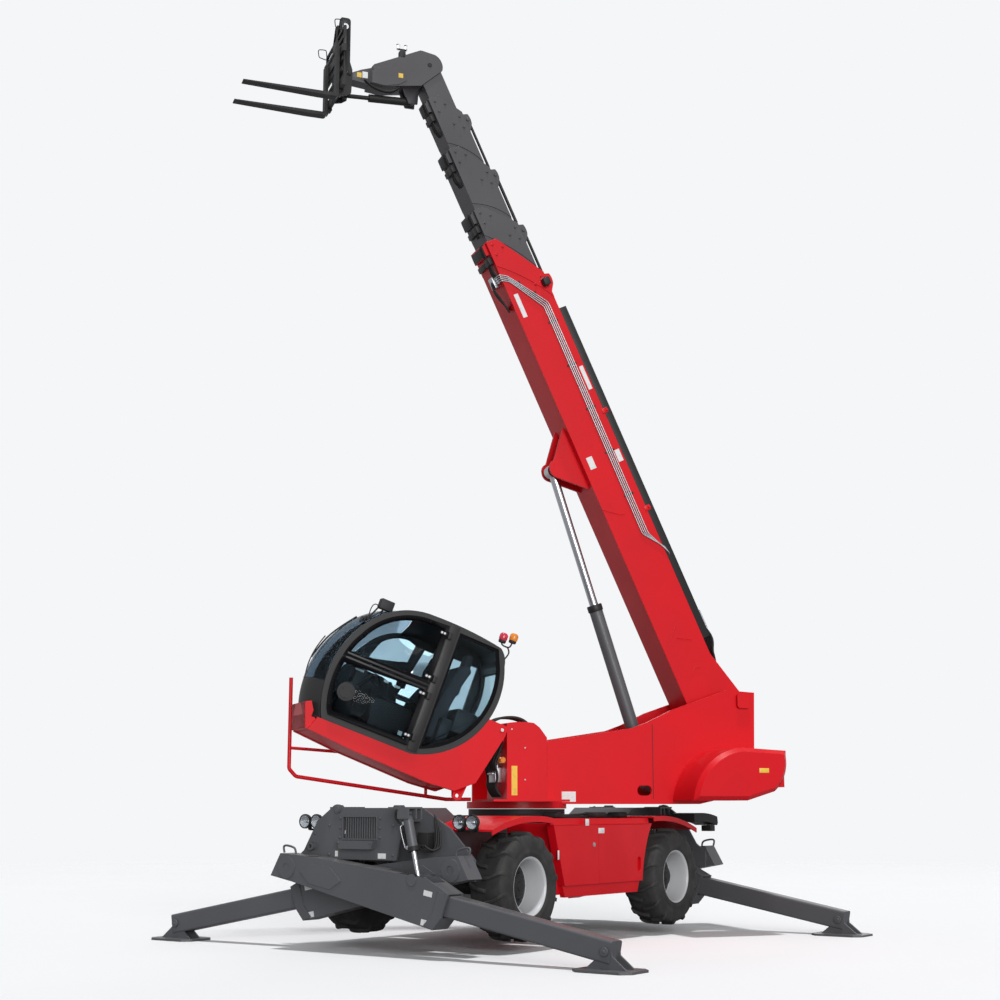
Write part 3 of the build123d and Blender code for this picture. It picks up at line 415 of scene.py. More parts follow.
def merged_copy(node):
    """A copy of a CAD node's mesh with its triangles joined."""
    copy = bmesh.new()
    copy.from_mesh(frame["nodes"][node].data)
    bmesh.ops.remove_doubles(copy, verts=copy.verts, dist=1e-5)
    return copy


CHROME, LENS = chrome(), lamp_lens()
LAMP_X, LAMP_Z = 2.25, 1.365
LEFT_SHIFT, RIGHT_SHIFT = -0.07, -0.2      # how far each pair stands from its solid, along y
cups = merged_copy("lamps")
for vert in cups.verts:
    vert.co.y += LEFT_SHIFT if vert.co.y > 0 else RIGHT_SHIFT
for y, long in ((0.78, 0.28), (-1.33, 0.32)):       # the bars under them
    box(cups, (2.205, y, 1.262), (2.232, y + long, 1.285), 0.003)
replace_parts(fit("lamp_cups", cups, "chassis", "black", PLASTIC), "lamps")
bowls, lenses, rims = bmesh.new(), bmesh.new(), bmesh.new()
for y in (0.94 + LEFT_SHIFT, 1.11 + LEFT_SHIFT, -0.94 + RIGHT_SHIFT, -1.11 + RIGHT_SHIFT):
    at = Matrix.Translation((LAMP_X, y, LAMP_Z))
    spun(bowls, [(0.0635, 0.0), (0.066, 0.025), (0.072, 0.046), (0.082, 0.068)], at, 40)
    spun(bowls, [(0.063, 0.014), (0.08, 0.014), (0.083, 0.0)], at, 20)
    spun(lenses, [(0.089, 0.0), (0.088, 0.035), (0.0835, 0.0705), (0.0815, 0.0705), (0.086, 0.034),
                  (0.087, 0.0)], at, 40)
    spun(rims, [(0.078, 0.071), (0.088, 0.071), (0.089, 0.076), (0.087, 0.0805), (0.06, 0.0815),
                (0.06, 0.08)], at, 40)
fit("lamp_bowls", bowls, "chassis", "rod", CHROME, sharp=60)
fit("lamp_lenses", lenses, "chassis", "glass", LENS, sharp=60)
fit("lamp_rims", rims, "chassis", "black", PLASTIC)


# ---- Wheels -------------------------------------------------------------------------------
# Off-road tyres on welded steel rims. The casing is spun with its bead and shoulder rings, and
# 28 tapered lugs wrap from the middle over each shoulder. The rim is light grey outside a dark
# disc, which is bolted to the hub's gear housing.
def tread_rubber():
    f = Finish("tread_rubber")
    mottle = f.noise(9, 5)
    worn = f.ramp(f.noise(3, 2), 0.45, 0.7)
    tone = f.blend(f.ramp(mottle, 0.4, 0.7), (0.016, 0.016, 0.016, 1), (0.034, 0.033, 0.032, 1))
    return f.surface(Base_Color=f.blend(worn * 0.3, tone, (0.06, 0.056, 0.052, 1)),
                     Roughness=0.7 + mottle * 0.2, Normal=f.bumped(f.noise(160, 3), 0.0012, 0.5, 0.006))


TREAD = tread_rubber()
RIM_GREY = enamel("rim_enamel", (0.52, 0.53, 0.54, 1), (0.42, 0.43, 0.45, 1), 0.36, 0.1)
CASING = [(0.196, 0.303), (0.212, 0.312), (0.217, 0.335), (0.2215, 0.345), (0.222, 0.372), (0.2195, 0.378),
          (0.2225, 0.415), (0.2215, 0.45), (0.215, 0.49), (0.204, 0.522), (0.185, 0.538), (0.1, 0.545)]
# across the tread: axial place, lean round the wheel, half width, foot and tip radius
LUG = [(-0.012, -0.03, 0.024, 0.53, 0.5815), (0.06, -0.022, 0.021, 0.53, 0.582),
       (0.125, 0.004, 0.021, 0.53, 0.58), (0.182, 0.034, 0.025, 0.525, 0.572),
       (0.214, 0.048, 0.027, 0.49, 0.542), (0.2225, 0.056, 0.022, 0.445, 0.47)]
LUGS = 14                   # on each side of the middle
ROUND = 0.585               # radius at which the tread is laid out flat


def tread_lug(shape, facing, turn):
    """One lug: laid out flat, drawn up from foot to tip, eased, and wrapped round the wheel."""
    made = bmesh.ops.create_grid(shape, x_segments=len(LUG) - 1, y_segments=1, size=1)["verts"]
    rows = sorted(made, key=lambda vert: vert.co.x)
    for index, vert in enumerate(rows):
        axial, lean, half, foot, tip = LUG[index // 2]
        vert.co = (facing * axial, lean + math.copysign(half, vert.co.y), foot)
    feet = {face for vert in made for face in vert.link_faces}
    top = bmesh.ops.extrude_face_region(shape, geom=list(feet))["geom"]
    raised = [item for item in top if isinstance(item, bmesh.types.BMVert)]
    for vert in raised:
        axial, lean, half, foot, tip = min(LUG, key=lambda row: abs(facing * row[0] - vert.co.x))
        vert.co.y = lean + (vert.co.y - lean) * 0.78
        vert.co.z = tip
        if axial > 0.2:
            vert.co.x -= facing * 0.001
    whole = set(made) | set(raised)
    lip = [edge for edge in {edge for vert in raised for edge in vert.link_edges}
           if edge.verts[0] in raised and edge.verts[1] in raised and len(edge.link_faces) == 2
           and edge.calc_face_angle(0) > 0.5]
    eased = bmesh.ops.bevel(shape, geom=lip, offset=0.006, affect="EDGES", segments=2, profile=0.5,
        material=-1)
    whole = {vert for vert in whole if vert.is_valid} | set(eased["verts"])
    for vert in whole:
        angle, radius = vert.co.y / ROUND + turn, vert.co.z
        vert.co = (vert.co.x, radius * math.sin(angle), radius * math.cos(angle))


CORNERS = ("front_left", "front_right", "rear_left", "rear_right")
for corner in CORNERS:
    hub = Vector(joints["spin_" + corner]["pos_m"])
    outward = 1 if hub.y > 0 else -1
    # the wheel's own frame: x along the axle and outwards
    at = Matrix.Translation(hub) @ Matrix.Rotation(outward * math.pi / 2, 4, "Z")
    casing = bmesh.new()
    spun(casing, CASING + [(-axial, radius) for axial, radius in reversed(CASING)], Matrix(), 84)
    spun(casing, [(0.196, 0.303), (0.15, 0.306), (-0.15, 0.306), (-0.196, 0.303)], Matrix(), 84)
    for count in range(LUGS):
        step = math.tau / LUGS
        tread_lug(casing, 1, count * step)
        tread_lug(casing, -1, (count + 0.5) * step)
    tyre = fit("tyre_" + corner + "_lugged", casing, "wheel_" + corner, "tyre", TREAD, place=at, sharp=40)
    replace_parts(tyre, "tyre_" + corner)
    pan = bmesh.new()
    spun(pan, [(-0.212, 0.318), (-0.205, 0.322), (-0.198, 0.314), (-0.19, 0.302), (-0.05, 0.296),
        (0.19, 0.302), (0.198, 0.314), (0.205, 0.322), (0.212, 0.319), (0.2135, 0.311), (0.203, 0.297),
        (0.19, 0.29), (0.12, 0.284), (0.03, 0.268), (-0.03, 0.262), (-0.035, 0.252), (-0.05, 0.262),
        (-0.19, 0.288), (-0.203, 0.297), (-0.212, 0.31), (-0.212, 0.318)], Matrix(), 72)
    rim = fit("rim_" + corner + "_welded", pan, "wheel_" + corner, "rim", RIM_GREY, place=at, sharp=30)
    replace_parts(rim, "rim_" + corner)
    disc = bmesh.new()
    spun(disc, [(-0.046, 0.262), (-0.033, 0.262), (-0.028, 0.245), (-0.012, 0.215), (0.0, 0.19),
        (0.004, 0.132), (0.05, 0.126), (0.068, 0.112), (0.078, 0.085), (0.082, 0.055), (0.092, 0.05),
        (0.096, 0.0)], Matrix(), 56)
    spun(disc, [(-0.046, 0.262), (-0.046, 0.12), (0.0, 0.12)], Matrix(), 56)
    for out, radius, count, size in ((0.0035, 0.162, 12, 0.013), (0.066, 0.098, 6, 0.008)):
        turns = (k * math.tau / count for k in range(count))
        ring = [(out, radius * math.cos(angle), radius * math.sin(angle)) for angle in turns]
        bolts(disc, ring, (1, 0, 0), size)
    fit("hub_" + corner + "_disc", disc, "wheel_" + corner, "hub", BLACK_STEEL, place=at)
dress(BLACK_STEEL, "axles", *("knuckle_" + corner for corner in CORNERS))


# ---- Outriggers ---------------------------------------------------------------------------
# Four box beams hinged at the ends of the chassis, each with a leg that slides out on pads,
# a doubler and a band welded on, and a cylinder with a bright rod, its pipes and ports.
# Black plastic for the wear pads, and as painted shade in the gap round each leg
PAD_AND_GAP_SHADE = moulded_plastic()
BEAM_HALF = 0.125           # half the width of a beam
DOUBLER = 0.008             # thickness of a plate welded on
ROOT_PLATE = [(0.62, 0.13), (0.34, 0.11), (0.2, 0.0), (0.36, -0.1), (0.66, -0.1), (0.8, 0.02)]


def axes_at(origin, x, y, z):
    """The frame that has its origin and three axes there."""
    return Matrix.Translation(origin) @ Matrix((x, y, z)).transposed().to_4x4()


def doubler(shape, outline, face):
    """A plate of an outline in x and z, standing out from a face at y."""
    ring = bmesh.ops.create_circle(shape, cap_ends=True, segments=len(outline), radius=1)["verts"]
    for vert, (x, z) in zip(ring, outline):
        vert.co = (x, face, z)
    root = {item for vert in ring for item in vert.link_faces}
    lifted = bmesh.ops.extrude_face_region(shape, geom=list(root))["geom"]
    bmesh.ops.translate(shape, vec=(0, math.copysign(DOUBLER, face), 0),
                        verts=[item for item in lifted if isinstance(item, bmesh.types.BMVert)])


for corner in CORNERS:
    fold, swing = joints["outrigger_fold_" + corner], joints["outrigger_ram_swing_" + corner]
    pivot, along = Vector(fold["pos_m"]), Vector(joints["outrigger_extend_" + corner]["axis"])
    aside = Vector((1, 0, 0))
    up = aside.cross(along) if along.y > 0 else along.cross(aside)
    # x runs out along the beam from its hinge, and z off its upper side
    beam = axes_at(pivot, along, up.cross(along), up)
    dress(GREY, "outrigger_beam_" + corner, "outrigger_leg_" + corner, "outrigger_barrel_" + corner)
    dress(CHROME, "outrigger_rod_" + corner)
    plate, heads, white, pads_and_gap_shade = (bmesh.new() for _ in range(4))
    for side in (1, -1):
        face = side * BEAM_HALF
        doubler(plate, ROOT_PLATE, face)
        if side * along.y * pivot.x > 0:            # the side turned away from the end plate
            bolts(heads, [(2.11, face + side * DOUBLER, z) for z in (-0.1, 0.0, 0.11)], (0, side, 0), 0.01)
            bolts(heads, [(1.99, face + side * 0.001, 0.02)], (0, side, 0), 0.008)
        for x, z, high in ((1.9, 0.11, 0.055), (1.92, -0.185, 0.06)):
            out = face + side * 0.0005
            box(white, (x, out - 0.001, z), (x + 0.11, out + 0.001, z + high))
    # Wear pads, and black strips as painted shade in the gap round the leg where it leaves the beam
    box(pads_and_gap_shade, (2.06, -0.104, 0.166), (2.19, 0.104, 0.174), 0.002)
    box(pads_and_gap_shade, (2.0, -0.104, -0.064), (2.1, 0.104, -0.056), 0.002)
    for side in (1, -1):
        box(pads_and_gap_shade, (2.04, side * 0.1 - 0.004, -0.05), (2.13, side * 0.1 + 0.004, 0.15), 0.002)
    body = "beam_" + corner
    fit("beam_doubler_" + corner, plate, body, "frame_grey", GREY, place=beam, edges=0.002)
    fit("beam_bolts_" + corner, heads, body, "frame_grey", GREY, place=beam)
    fit("beam_labels_" + corner, white, body, "frame_grey", WHITE_PLATE, place=beam)
    fit("beam_pads_" + corner, pads_and_gap_shade, body, "black", PAD_AND_GAP_SHADE, place=beam)
    # Cylinder trim: gland ring, two ports, and a steel pipe along the barrel
    top, down = Vector(swing["pos_m"]), Vector(joints["outrigger_ram_slide_" + corner]["axis"])
    ram = axes_at(top, down, aside, down.cross(aside))
    trim, bright = bmesh.new(), bmesh.new()
    spun(trim, [(0.352, 0.05), (0.352, 0.057), (0.358, 0.059), (0.398, 0.059), (0.402, 0.055), (0.402, 0.03),
                (0.398, 0.0285)], Matrix(), 36)
    for port, high in ((0.095, 0.074), (0.35, 0.078)):
        box(bright, (port - 0.02, -0.022, 0.045), (port + 0.02, 0.022, high), 0.003)
    for port, foot in ((0.095, 0.07), (0.35, 0.072)):
        rod(bright, (port, 0, foot), (port, 0, foot + 0.018), 0.01, sides=6)
    fit("ram_gland_" + corner, trim, "ram_barrel_" + corner, "frame_grey", BLACK_STEEL, place=ram)
    fit("ram_ports_" + corner, bright, "ram_barrel_" + corner, "rod", ZINC, place=ram)
    hoses("ram_pipe_" + corner, [[
        (0.35, 0.0, 0.086), (0.35, 0.0, 0.1), (0.335, 0.004, 0.104), (0.2, 0.02, 0.104),
        (0.13, 0.022, 0.104), (0.115, 0.02, 0.1), (0.11, 0.01, 0.09)]], 0.006, "ram_barrel_" + corner,
        ZINC, ram)
    hoses("ram_hoses_" + corner, [[
        (0.095, 0, 0.084), (0.085, 0.01, 0.11), (0.04, 0.03 + 0.02 * k, 0.12),
        (-0.02, 0.05 + 0.02 * k, 0.105),
        (-0.05, 0.06 + 0.02 * k, 0.06)] for k in range(2)] + [[(0.35, -0.01, 0.086), (0.355, -0.02, 0.105),
        (0.3, -0.035, 0.112), (0.18, -0.04, 0.108), (0.06, -0.04, 0.1), (-0.02, -0.04, 0.06)]], 0.01,
        "ram_barrel_" + corner, RUBBER, ram)
    # Lifting eye standing on the beam's root
    hoses("beam_eye_" + corner, [[
        (-0.19, 0.02, 0.12), (-0.22, 0.02, 0.17), (-0.2, 0.02, 0.2), (-0.1, 0.02, 0.205),
        (-0.03, 0.02, 0.19), (-0.02, 0.02, 0.12)]], 0.012, body, GREY, beam)
    # Pin heads over the pad
    pad_y = math.copysign(3.03, along.y)
    foot = bmesh.new()
    for side in (1, -1):
        x = pivot.x + side * 0.105
        rod(foot, (x, pad_y, 0.19), (x + side * 0.012, pad_y, 0.19), 0.045, 0.041, 28)
        rod(foot, (x + side * 0.01, pad_y, 0.19), (x + side * 0.018, pad_y, 0.19), 0.018, 0.016, 6)
    fit("foot_pins_" + corner, foot, "leg_" + corner, "frame_grey", GREY)

# Hydraulic block, accumulator and hose loops behind each end plate
valves, tank = bmesh.new(), bmesh.new()
for facing in (1, -1):
    turn = turned(facing)
    near, far = turn @ Vector((2.4, 0.46, 1.08)), turn @ Vector((2.52, 0.6, 1.26))
    box(valves, [min(pair) for pair in zip(near, far)], [max(pair) for pair in zip(near, far)], 0.008)
    for k in range(3):
        start = turn @ Vector((2.52, 0.49 + 0.04 * k, 1.12))
        rod(valves, start, start + turn @ Vector((0.045, 0, 0)), 0.014, 0.012, 6)
    foot, neck, top = (turn @ Vector((2.33, 0.74, z)) for z in (1.05, 1.25, 1.29))
    rod(tank, foot, neck, 0.05, sides=28)
    rod(tank, neck, top, 0.05, 0.02, 28)
fit("valve_blocks", valves, "chassis", "frame_grey", BLACK_STEEL)
fit("accumulators", tank, "chassis", "frame_grey", GREY)
for end, facing in (("front", 1), ("rear", -1)):
    hoses(end + "_hoses", [[
        (2.53, 0.49 + 0.04 * k, 1.12), (2.53, 0.5 + 0.05 * k, 1.1), (2.51, 0.56 + 0.05 * k, 1.07),
        (2.47, 0.62 + 0.04 * k, 1.05 + 0.02 * k), (2.44, 0.66 + 0.03 * k, 1.12),
        (2.42, 0.64 + 0.02 * k, 1.36), (2.36, 0.56, 1.42 + 0.01 * k)] for k in range(3)], 0.011, "chassis",
        RUBBER, turned(facing))


# ---- Turret -------------------------------------------------------------------------------
# Red welded box over the slew ring with a cheek each side, the cab's tower on its left, and a
# cast counterweight. Flush rivets, seams and blank plates are on the cheek, hoses in the tower.
# Places on it are u ahead, v to its left and z up, from the slewing axis at the ground
LEFT, UP = -Vector(joints["boom_lift"]["axis"]), Vector((0, 0, 1))
turret = axes_at((0, 0, 0), LEFT.cross(UP), LEFT, UP)
dress(RED, "turret_frame", "turret_tower", "counterweight", "cab_guard")
CHEEK = 0.42               # outer face of a cheek
TOWER_FACE = 1.1          # and of the tower
PIVOT_U, PIVOT_Z = -2.87, 2.83      # the boom's pin
heads, seams, white, yellow, keeper = (bmesh.new() for _ in range(5))
for side in (1, -1):
    for z in (1.86, 1.94, 2.02, 2.1, 2.18, 2.235):
        rod(heads, (-0.235, side * CHEEK, z), (-0.235, side * (CHEEK + 0.004), z), 0.011, 0.009, 16)
    box(seams, (-1.625, side * CHEEK - 0.0015, 1.62), (-1.617, side * CHEEK + 0.0015, 2.52))
    box(white, (-0.6, side * CHEEK - 0.0015, 1.585), (-0.42, side * CHEEK + 0.0015, 1.705))
    rod(keeper, (PIVOT_U, side * 0.45, PIVOT_Z), (PIVOT_U, side * 0.463, PIVOT_Z), 0.05, 0.046, 36)
    bolts(keeper, [(PIVOT_U + u, side * 0.445, PIVOT_Z + z) for u in (-0.06, 0.06) for z in (-0.06, 0.06)],
          (0, side, 0), 0.01)
fit("cheek_rivets", heads, "turret", "body_red", RED, place=turret)
fit("cheek_seams", seams, "turret", "black", BLACK_STEEL, place=turret)
fit("pivot_keepers", keeper, "turret", "black", BLACK_STEEL, place=turret)
screws = bmesh.new()
for x, z in ((0.3, 2.19), (0.3, 1.83), (0.46, 2.4)):
    rod(screws, (x, TOWER_FACE, z), (x, TOWER_FACE + 0.004, z), 0.01, 0.008, 14)
rod(screws, (0.604, 1.175, 2.383), (0.604, 1.183, 2.383), 0.022, 0.018, 24)
fit("tower_screws", screws, "turret", "rod", ZINC, place=turret)
box(yellow, (0.395, TOWER_FACE - 0.0015, 1.655), (0.465, TOWER_FACE + 0.0015, 1.985))
fit("tower_label", yellow, "turret", "body_red", YELLOW_PLATE, place=turret)
fit("cheek_labels", white, "turret", "body_red", WHITE_PLATE, place=turret)
# Blank plates on the counterweight's two caps
caps = bmesh.new()
for side in (1, -1):
    box(caps, (-2.87, side * 1.048 - 0.003, 1.93), (-2.74, side * 1.048 + 0.003, 1.985), 0.0005)
fit("weight_labels", caps, "turret", "body_red", YELLOW_PLATE, place=turret)
hoses("tower_hoses", [[
    (0.06 + 0.02 * k, 0.55 + 0.06 * k, 2.3), (0.05, 0.55 + 0.06 * k, 2.45),
    (0.2, 0.55 + 0.06 * k, 2.545 + 0.008 * k), (0.42, 0.55 + 0.06 * k, 2.56), (0.56, 0.56 + 0.06 * k, 2.5),
    (0.6, 0.57 + 0.06 * k, 2.44)] for k in range(3)], 0.015, "turret", RUBBER, turret)
hoses("tower_front_hoses", [[
    (0.5, 0.6 + 0.07 * k, 2.28), (0.6, 0.6 + 0.07 * k, 2.2 - 0.03 * k), (0.62, 0.62 + 0.07 * k, 2.0),
    (0.57, 0.6 + 0.07 * k, 1.85), (0.6, 0.62 + 0.05 * k, 1.74),
    (0.52, 0.62 + 0.06 * k, 1.64)] for k in range(6)], 0.014, "turret", RUBBER, turret)
block, amber = bmesh.new(), bmesh.new()
box(block, (0.515, 0.7, 1.8), (0.6, 0.92, 1.97), 0.008)
for k in range(4):
    rod(block, (0.6, 0.73 + 0.05 * k, 1.9), (0.625, 0.73 + 0.05 * k, 1.9), 0.014, 0.012, 6)
    rod(block, (0.56, 0.73 + 0.05 * k, 1.97), (0.56, 0.73 + 0.05 * k, 2.0), 0.016, 0.014, 16)
fit("tower_valves", block, "turret", "rod", ZINC, place=turret)


def lamp_plastic(name, colour, deep):
    f = Finish(name)
    depth = f.ramp(f.noise(35, 3), 0.3, 0.7)
    return f.surface(Base_Color=f.blend(depth, colour, deep), Roughness=0.18 + depth * 0.1,
                     Coat_Weight=depth * 0.2 + 0.4, Emission_Color=f.blend(depth, colour, deep),
                     Emission_Strength=0.12)


AMBER = lamp_plastic("amber_lens", (0.8, 0.26, 0.01, 1), (0.55, 0.15, 0.005, 1))
RED_LENS = lamp_plastic("red_lens", (0.62, 0.02, 0.06, 1), (0.4, 0.01, 0.03, 1))
rod(amber, (0.56, 1.03, 2.05), (0.56, 1.085, 2.05), 0.033, 0.03, 28)
box(amber, (0.53, 1.0, 2.015), (0.59, 1.05, 2.085), 0.006)
fit("tower_lamp", amber, "turret", "black", AMBER, place=turret)


# ---- Cab ----------------------------------------------------------------------------------
# A tilting cab on a red cradle: a rounded dark grey frame, tinted glass with a black printed
# border, two glazed half doors on black hinges, and a seat, console and wheel inside.
CAB_GREY = enamel("cab_grey_enamel", (0.022, 0.022, 0.023, 1), (0.016, 0.016, 0.017, 1), 0.42, 0.05, 0.3)


def tinted_glass(name, tint, other):
    f = Finish(name)
    film = f.noise(2.5, 3)
    return f.surface(Base_Color=f.blend(f.ramp(film, 0.4, 0.6), tint, other),
                     Roughness=film * 0.03, Transmission_Weight=1.0, IOR=1.16)


def printed_border():
    f = Finish("black_glass_border")
    film = f.noise(3, 3)
    return f.surface(Base_Color=f.blend(film, (0.002, 0.002, 0.003, 1), (0.005, 0.005, 0.006, 1)),
                     Roughness=0.3 + film * 0.1, Specular_IOR_Level=0.05)


def seat_cloth():
    f = Finish("seat_cloth")
    weave = f.node("TexVoronoi", sockets={"Vector": f.spot(), "Scale": 350})
    return f.surface(Base_Color=f.blend(weave, (0.02, 0.02, 0.023, 1), (0.045, 0.045, 0.05, 1)),
                     Roughness=0.9, Normal=f.bumped(weave, 0.001, 0.6))


GLASS = tinted_glass("tinted_glass", (0.6, 0.74, 0.8, 1), (0.56, 0.7, 0.77, 1))
# The windscreen's glass is darker than the side panes' as painted shade of the dark cab seen through it
SCREEN_PAINTED_SHADE = tinted_glass("windscreen_glass_painted_shade", (0.3, 0.37, 0.43, 1), (0.26, 0.33, 0.39, 1))
BORDER, CLOTH = printed_border(), seat_cloth()
# Places in it are a ahead, v to the left and c towards the roof, and they lean with it
tilt_axis, cab_up = Vector(joints["cab_tilt"]["axis"]), Vector(joints["cab_door_upper"]["axis"])
ahead = (-tilt_axis).cross(cab_up)
tilt_pin = Vector(joints["cab_tilt"]["pos_m"])
cab = axes_at(tilt_pin - LEFT * tilt_pin.dot(LEFT), ahead, LEFT, cab_up)
into_cab = cab.inverted()
dress(CAB_GREY, "cab_shell")


def cut_off(shape, point, normal):
    """Takes off what lies beyond a plane, closes the cut and returns its outline."""
    cut = bmesh.ops.bisect_plane(shape, geom=[*shape.verts, *shape.edges, *shape.faces], plane_co=point,
                                 plane_no=normal, clear_outer=True)["geom_cut"]
    bmesh.ops.holes_fill(shape, edges=[item for item in cut if isinstance(item, bmesh.types.BMEdge)],
        sides=0)
    return [item.co.copy() for item in cut if isinstance(item, bmesh.types.BMVert)]


# The cradle: the box under the windscreen is cut back to an upright front, closed with a plate
cradle, front = merged_copy("cab_cradle"), bmesh.new()
upright = (ahead - cab_up * 0.38).normalized()
for corner in cut_off(cradle, cab @ Vector((2.255, 0, -0.47)), upright):
    for depth in (0, 0.006):
        front.verts.new(corner - upright * depth)
bmesh.ops.convex_hull(front, input=front.verts)
fit("front_box_plate", front, "cab", "body_red", RED)
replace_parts(fit("cradle_welded", cradle, "cab", "body_red", RED, sharp=25), "cab_cradle")
# The panes: a windscreen in darker glass as painted shade of the cab's dark inside, and a black printed
# border round the quarter window
SIDE_FROM, SCREEN_FROM = 1.1, 1.3         # where the side panes and the windscreen begin
panes = merged_copy("cab_windows")
side_pane = [vert for vert in panes.verts if (into_cab @ vert.co).y > SIDE_FROM]
side_edges = [edge for edge in panes.edges if all(vert in side_pane for vert in edge.verts)]
bmesh.ops.dissolve_limit(panes, angle_limit=0.01, verts=side_pane, edges=side_edges)
quarter, screen = [], set()
for face in panes.faces:
    middle = into_cab @ face.calc_center_median()
    if middle.x > SCREEN_FROM and 0.44 < middle.y < 1.12:
        face.material_index = 2
        screen.update(face.verts)
    elif middle.y > SIDE_FROM and face.calc_area() > 0.2:
        quarter.append(face)
bmesh.ops.translate(panes, vec=ahead * 0.003 + cab_up * 0.002, verts=list(screen))
border = bmesh.ops.inset_individual(panes, faces=quarter, thickness=0.045)["faces"]
for face in border:
    face.material_index = 1
glazing = fit("cab_panes", panes, "cab", "glass", GLASS, BORDER, SCREEN_PAINTED_SHADE)
glazing.data.shade_flat()
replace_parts(glazing, "cab_windows")

# The doors: the same solids, with the pane and the border round it told apart
PANE = (1.1893, 1.1957)     # just outside its two faces
for door in ("lower", "upper"):
    copy = merged_copy("cab_door_" + door)
    for face in copy.faces:
        across = [(into_cab @ vert.co).y for vert in face.verts]
        face.material_index = 0 if min(across) > PANE[0] and max(across) < PANE[1] else 1
    glazed = fit("door_" + door + "_glazed", copy, "door_" + door, "glass", GLASS, BORDER)
    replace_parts(glazed, "cab_door_" + door)

# Pillar between the doors and the quarter window, rails along the doors, and their hinges
DOOR_FACE, WALL_FACE = 1.21, 1.17
HINGES = {"lower": (-0.456, 0.04), "upper": (0.24, 0.765)}
pillar = bmesh.new()
box(pillar, (0.865, WALL_FACE - 0.01, -0.6), (0.985, WALL_FACE + 0.012, 0.9), 0.004)
for c in (*HINGES["lower"], *HINGES["upper"]):
    body = bmesh.new()
    box(body, (0.93, WALL_FACE + 0.008, c - 0.04), (0.978, 1.213, c + 0.04), 0.004)
    bolts(body, [(0.952, 1.213, c - 0.02), (0.952, 1.213, c + 0.02)], (0, 1, 0), 0.006)
    fit("hinge_leaf_" + str(round(1000 + c * 1000)), body, "cab", "black", PLASTIC, place=cab)
fit("cab_pillar", pillar, "cab", "cab_grey", CAB_GREY, place=cab)
for door, rail in (("lower", 0.1), ("upper", 0.15)):
    arms, bright, handle = bmesh.new(), bmesh.new(), bmesh.new()
    for c in HINGES[door]:
        box(arms, (1.0, DOOR_FACE - 0.001, c - 0.018), (1.085, DOOR_FACE + 0.012, c + 0.018), 0.004)
        bolts(bright, [(1.03, DOOR_FACE + 0.012, c), (1.065, DOOR_FACE + 0.012, c)], (0, 1, 0), 0.008)
    box(handle, (1.02, DOOR_FACE - 0.001, rail - 0.013), (2.0, DOOR_FACE + 0.006, rail + 0.01), 0.002)
    fit("door_" + door + "_hinge_arms", arms, "door_" + door, "black", PLASTIC, place=cab)
    fit("door_" + door + "_hinge_bolts", bright, "door_" + door, "rod", ZINC, place=cab)
    fit("door_" + door + "_rail", handle, "door_" + door, "cab_grey", CAB_GREY, place=cab)
# Round vent in the lower door, and bright grab strips seen through it
VENT_A, VENT_C = 1.86, -0.26
vent, strips = bmesh.new(), bmesh.new()
for radius, out in ((0.105, 0.004), (0.08, 0.008), (0.045, 0.006)):
    rod(vent, (VENT_A, PANE[1], VENT_C), (VENT_A, PANE[1] + out, VENT_C), radius, radius * 0.97, 40)
for turn in range(3):
    angle = turn * math.tau / 3 + 0.5
    a, c = VENT_A + 0.06 * math.cos(angle), VENT_C + 0.06 * math.sin(angle)
    box(vent, (a - 0.012, 1.198, c - 0.012), (a + 0.012, 1.206, c + 0.012), 0.003)
fit("door_vent", vent, "door_lower", "black", PLASTIC, place=cab)
for a, c, long in ((1.8, 0.045, 0.11), (1.3, 0.045, 0.08), (1.45, 0.045, 0.06)):
    box(strips, (a - long / 2, 1.1, c - 0.012), (a + long / 2, 1.115, c + 0.012), 0.003)
for a, c, side in ((1.1, -0.47, 0.05), (1.02, -0.53, 0.06)):
    box(strips, (a - side / 2, 1.15, c - side / 2), (a + side / 2, 1.152, c + side / 2))
fit("cab_inner_strips", strips, "cab", "cab_grey", WHITE_PLATE, place=cab)

# Inside: cushions over the seat, consoles with their levers, column and wheel, and the shelf behind
seat = bmesh.new()
box(seat, (0.66, 0.575, -0.34), (1.19, 0.985, -0.21), 0.045)
box(seat, (0.6, 0.6, -0.2), (0.76, 0.96, 0.2), 0.05)
box(seat, (0.54, 0.63, 0.2), (0.68, 0.93, 0.5), 0.05)
box(seat, (0.5, 0.69, 0.53), (0.6, 0.87, 0.72), 0.035)
for side in (0.55, 1.01):
    box(seat, (0.78, side - 0.04, -0.06), (1.22, side + 0.04, 0.0), 0.02)
fit("seat_cushions", seat, "cab", "seat", CLOTH, place=cab)
dress(CLOTH, "operator_seat")
trim = bmesh.new()
box(trim, (0.98, 0.505, -0.58), (1.5, 0.56, -0.1), 0.02)
box(trim, (0.98, 1.03, -0.58), (1.5, 1.09, -0.16), 0.02)
box(trim, (1.72, 0.62, -0.56), (1.95, 0.98, -0.1), 0.05)
rod(trim, (1.8, 0.8, -0.15), (1.6, 0.8, 0.13), 0.04, 0.032, 24)
for side in (0.53, 1.06):
    rod(trim, (1.36, side, -0.12), (1.38, side, 0.03), 0.016, 0.014, 16)
    bmesh.ops.create_uvsphere(trim, u_segments=16, v_segments=10, radius=0.032,
                              matrix=Matrix.Translation((1.38, side, 0.05)))
box(trim, (1.86, 0.48, 0.02), (1.93, 0.6, 0.2), 0.012)
box(trim, (0.3, 0.44, -0.22), (0.56, 1.11, 0.06), 0.03)
box(trim, (0.56, 0.44, -0.5), (0.7, 1.11, -0.1), 0.03)
wheel_at = Matrix.Translation((1.585, 0.8, 0.15)) @ Matrix.Rotation(math.radians(-35), 4, "Y")
grip = wheel_at @ Matrix.Translation((0.17, 0, 0)) @ Matrix.Rotation(math.pi / 2, 4, "X")
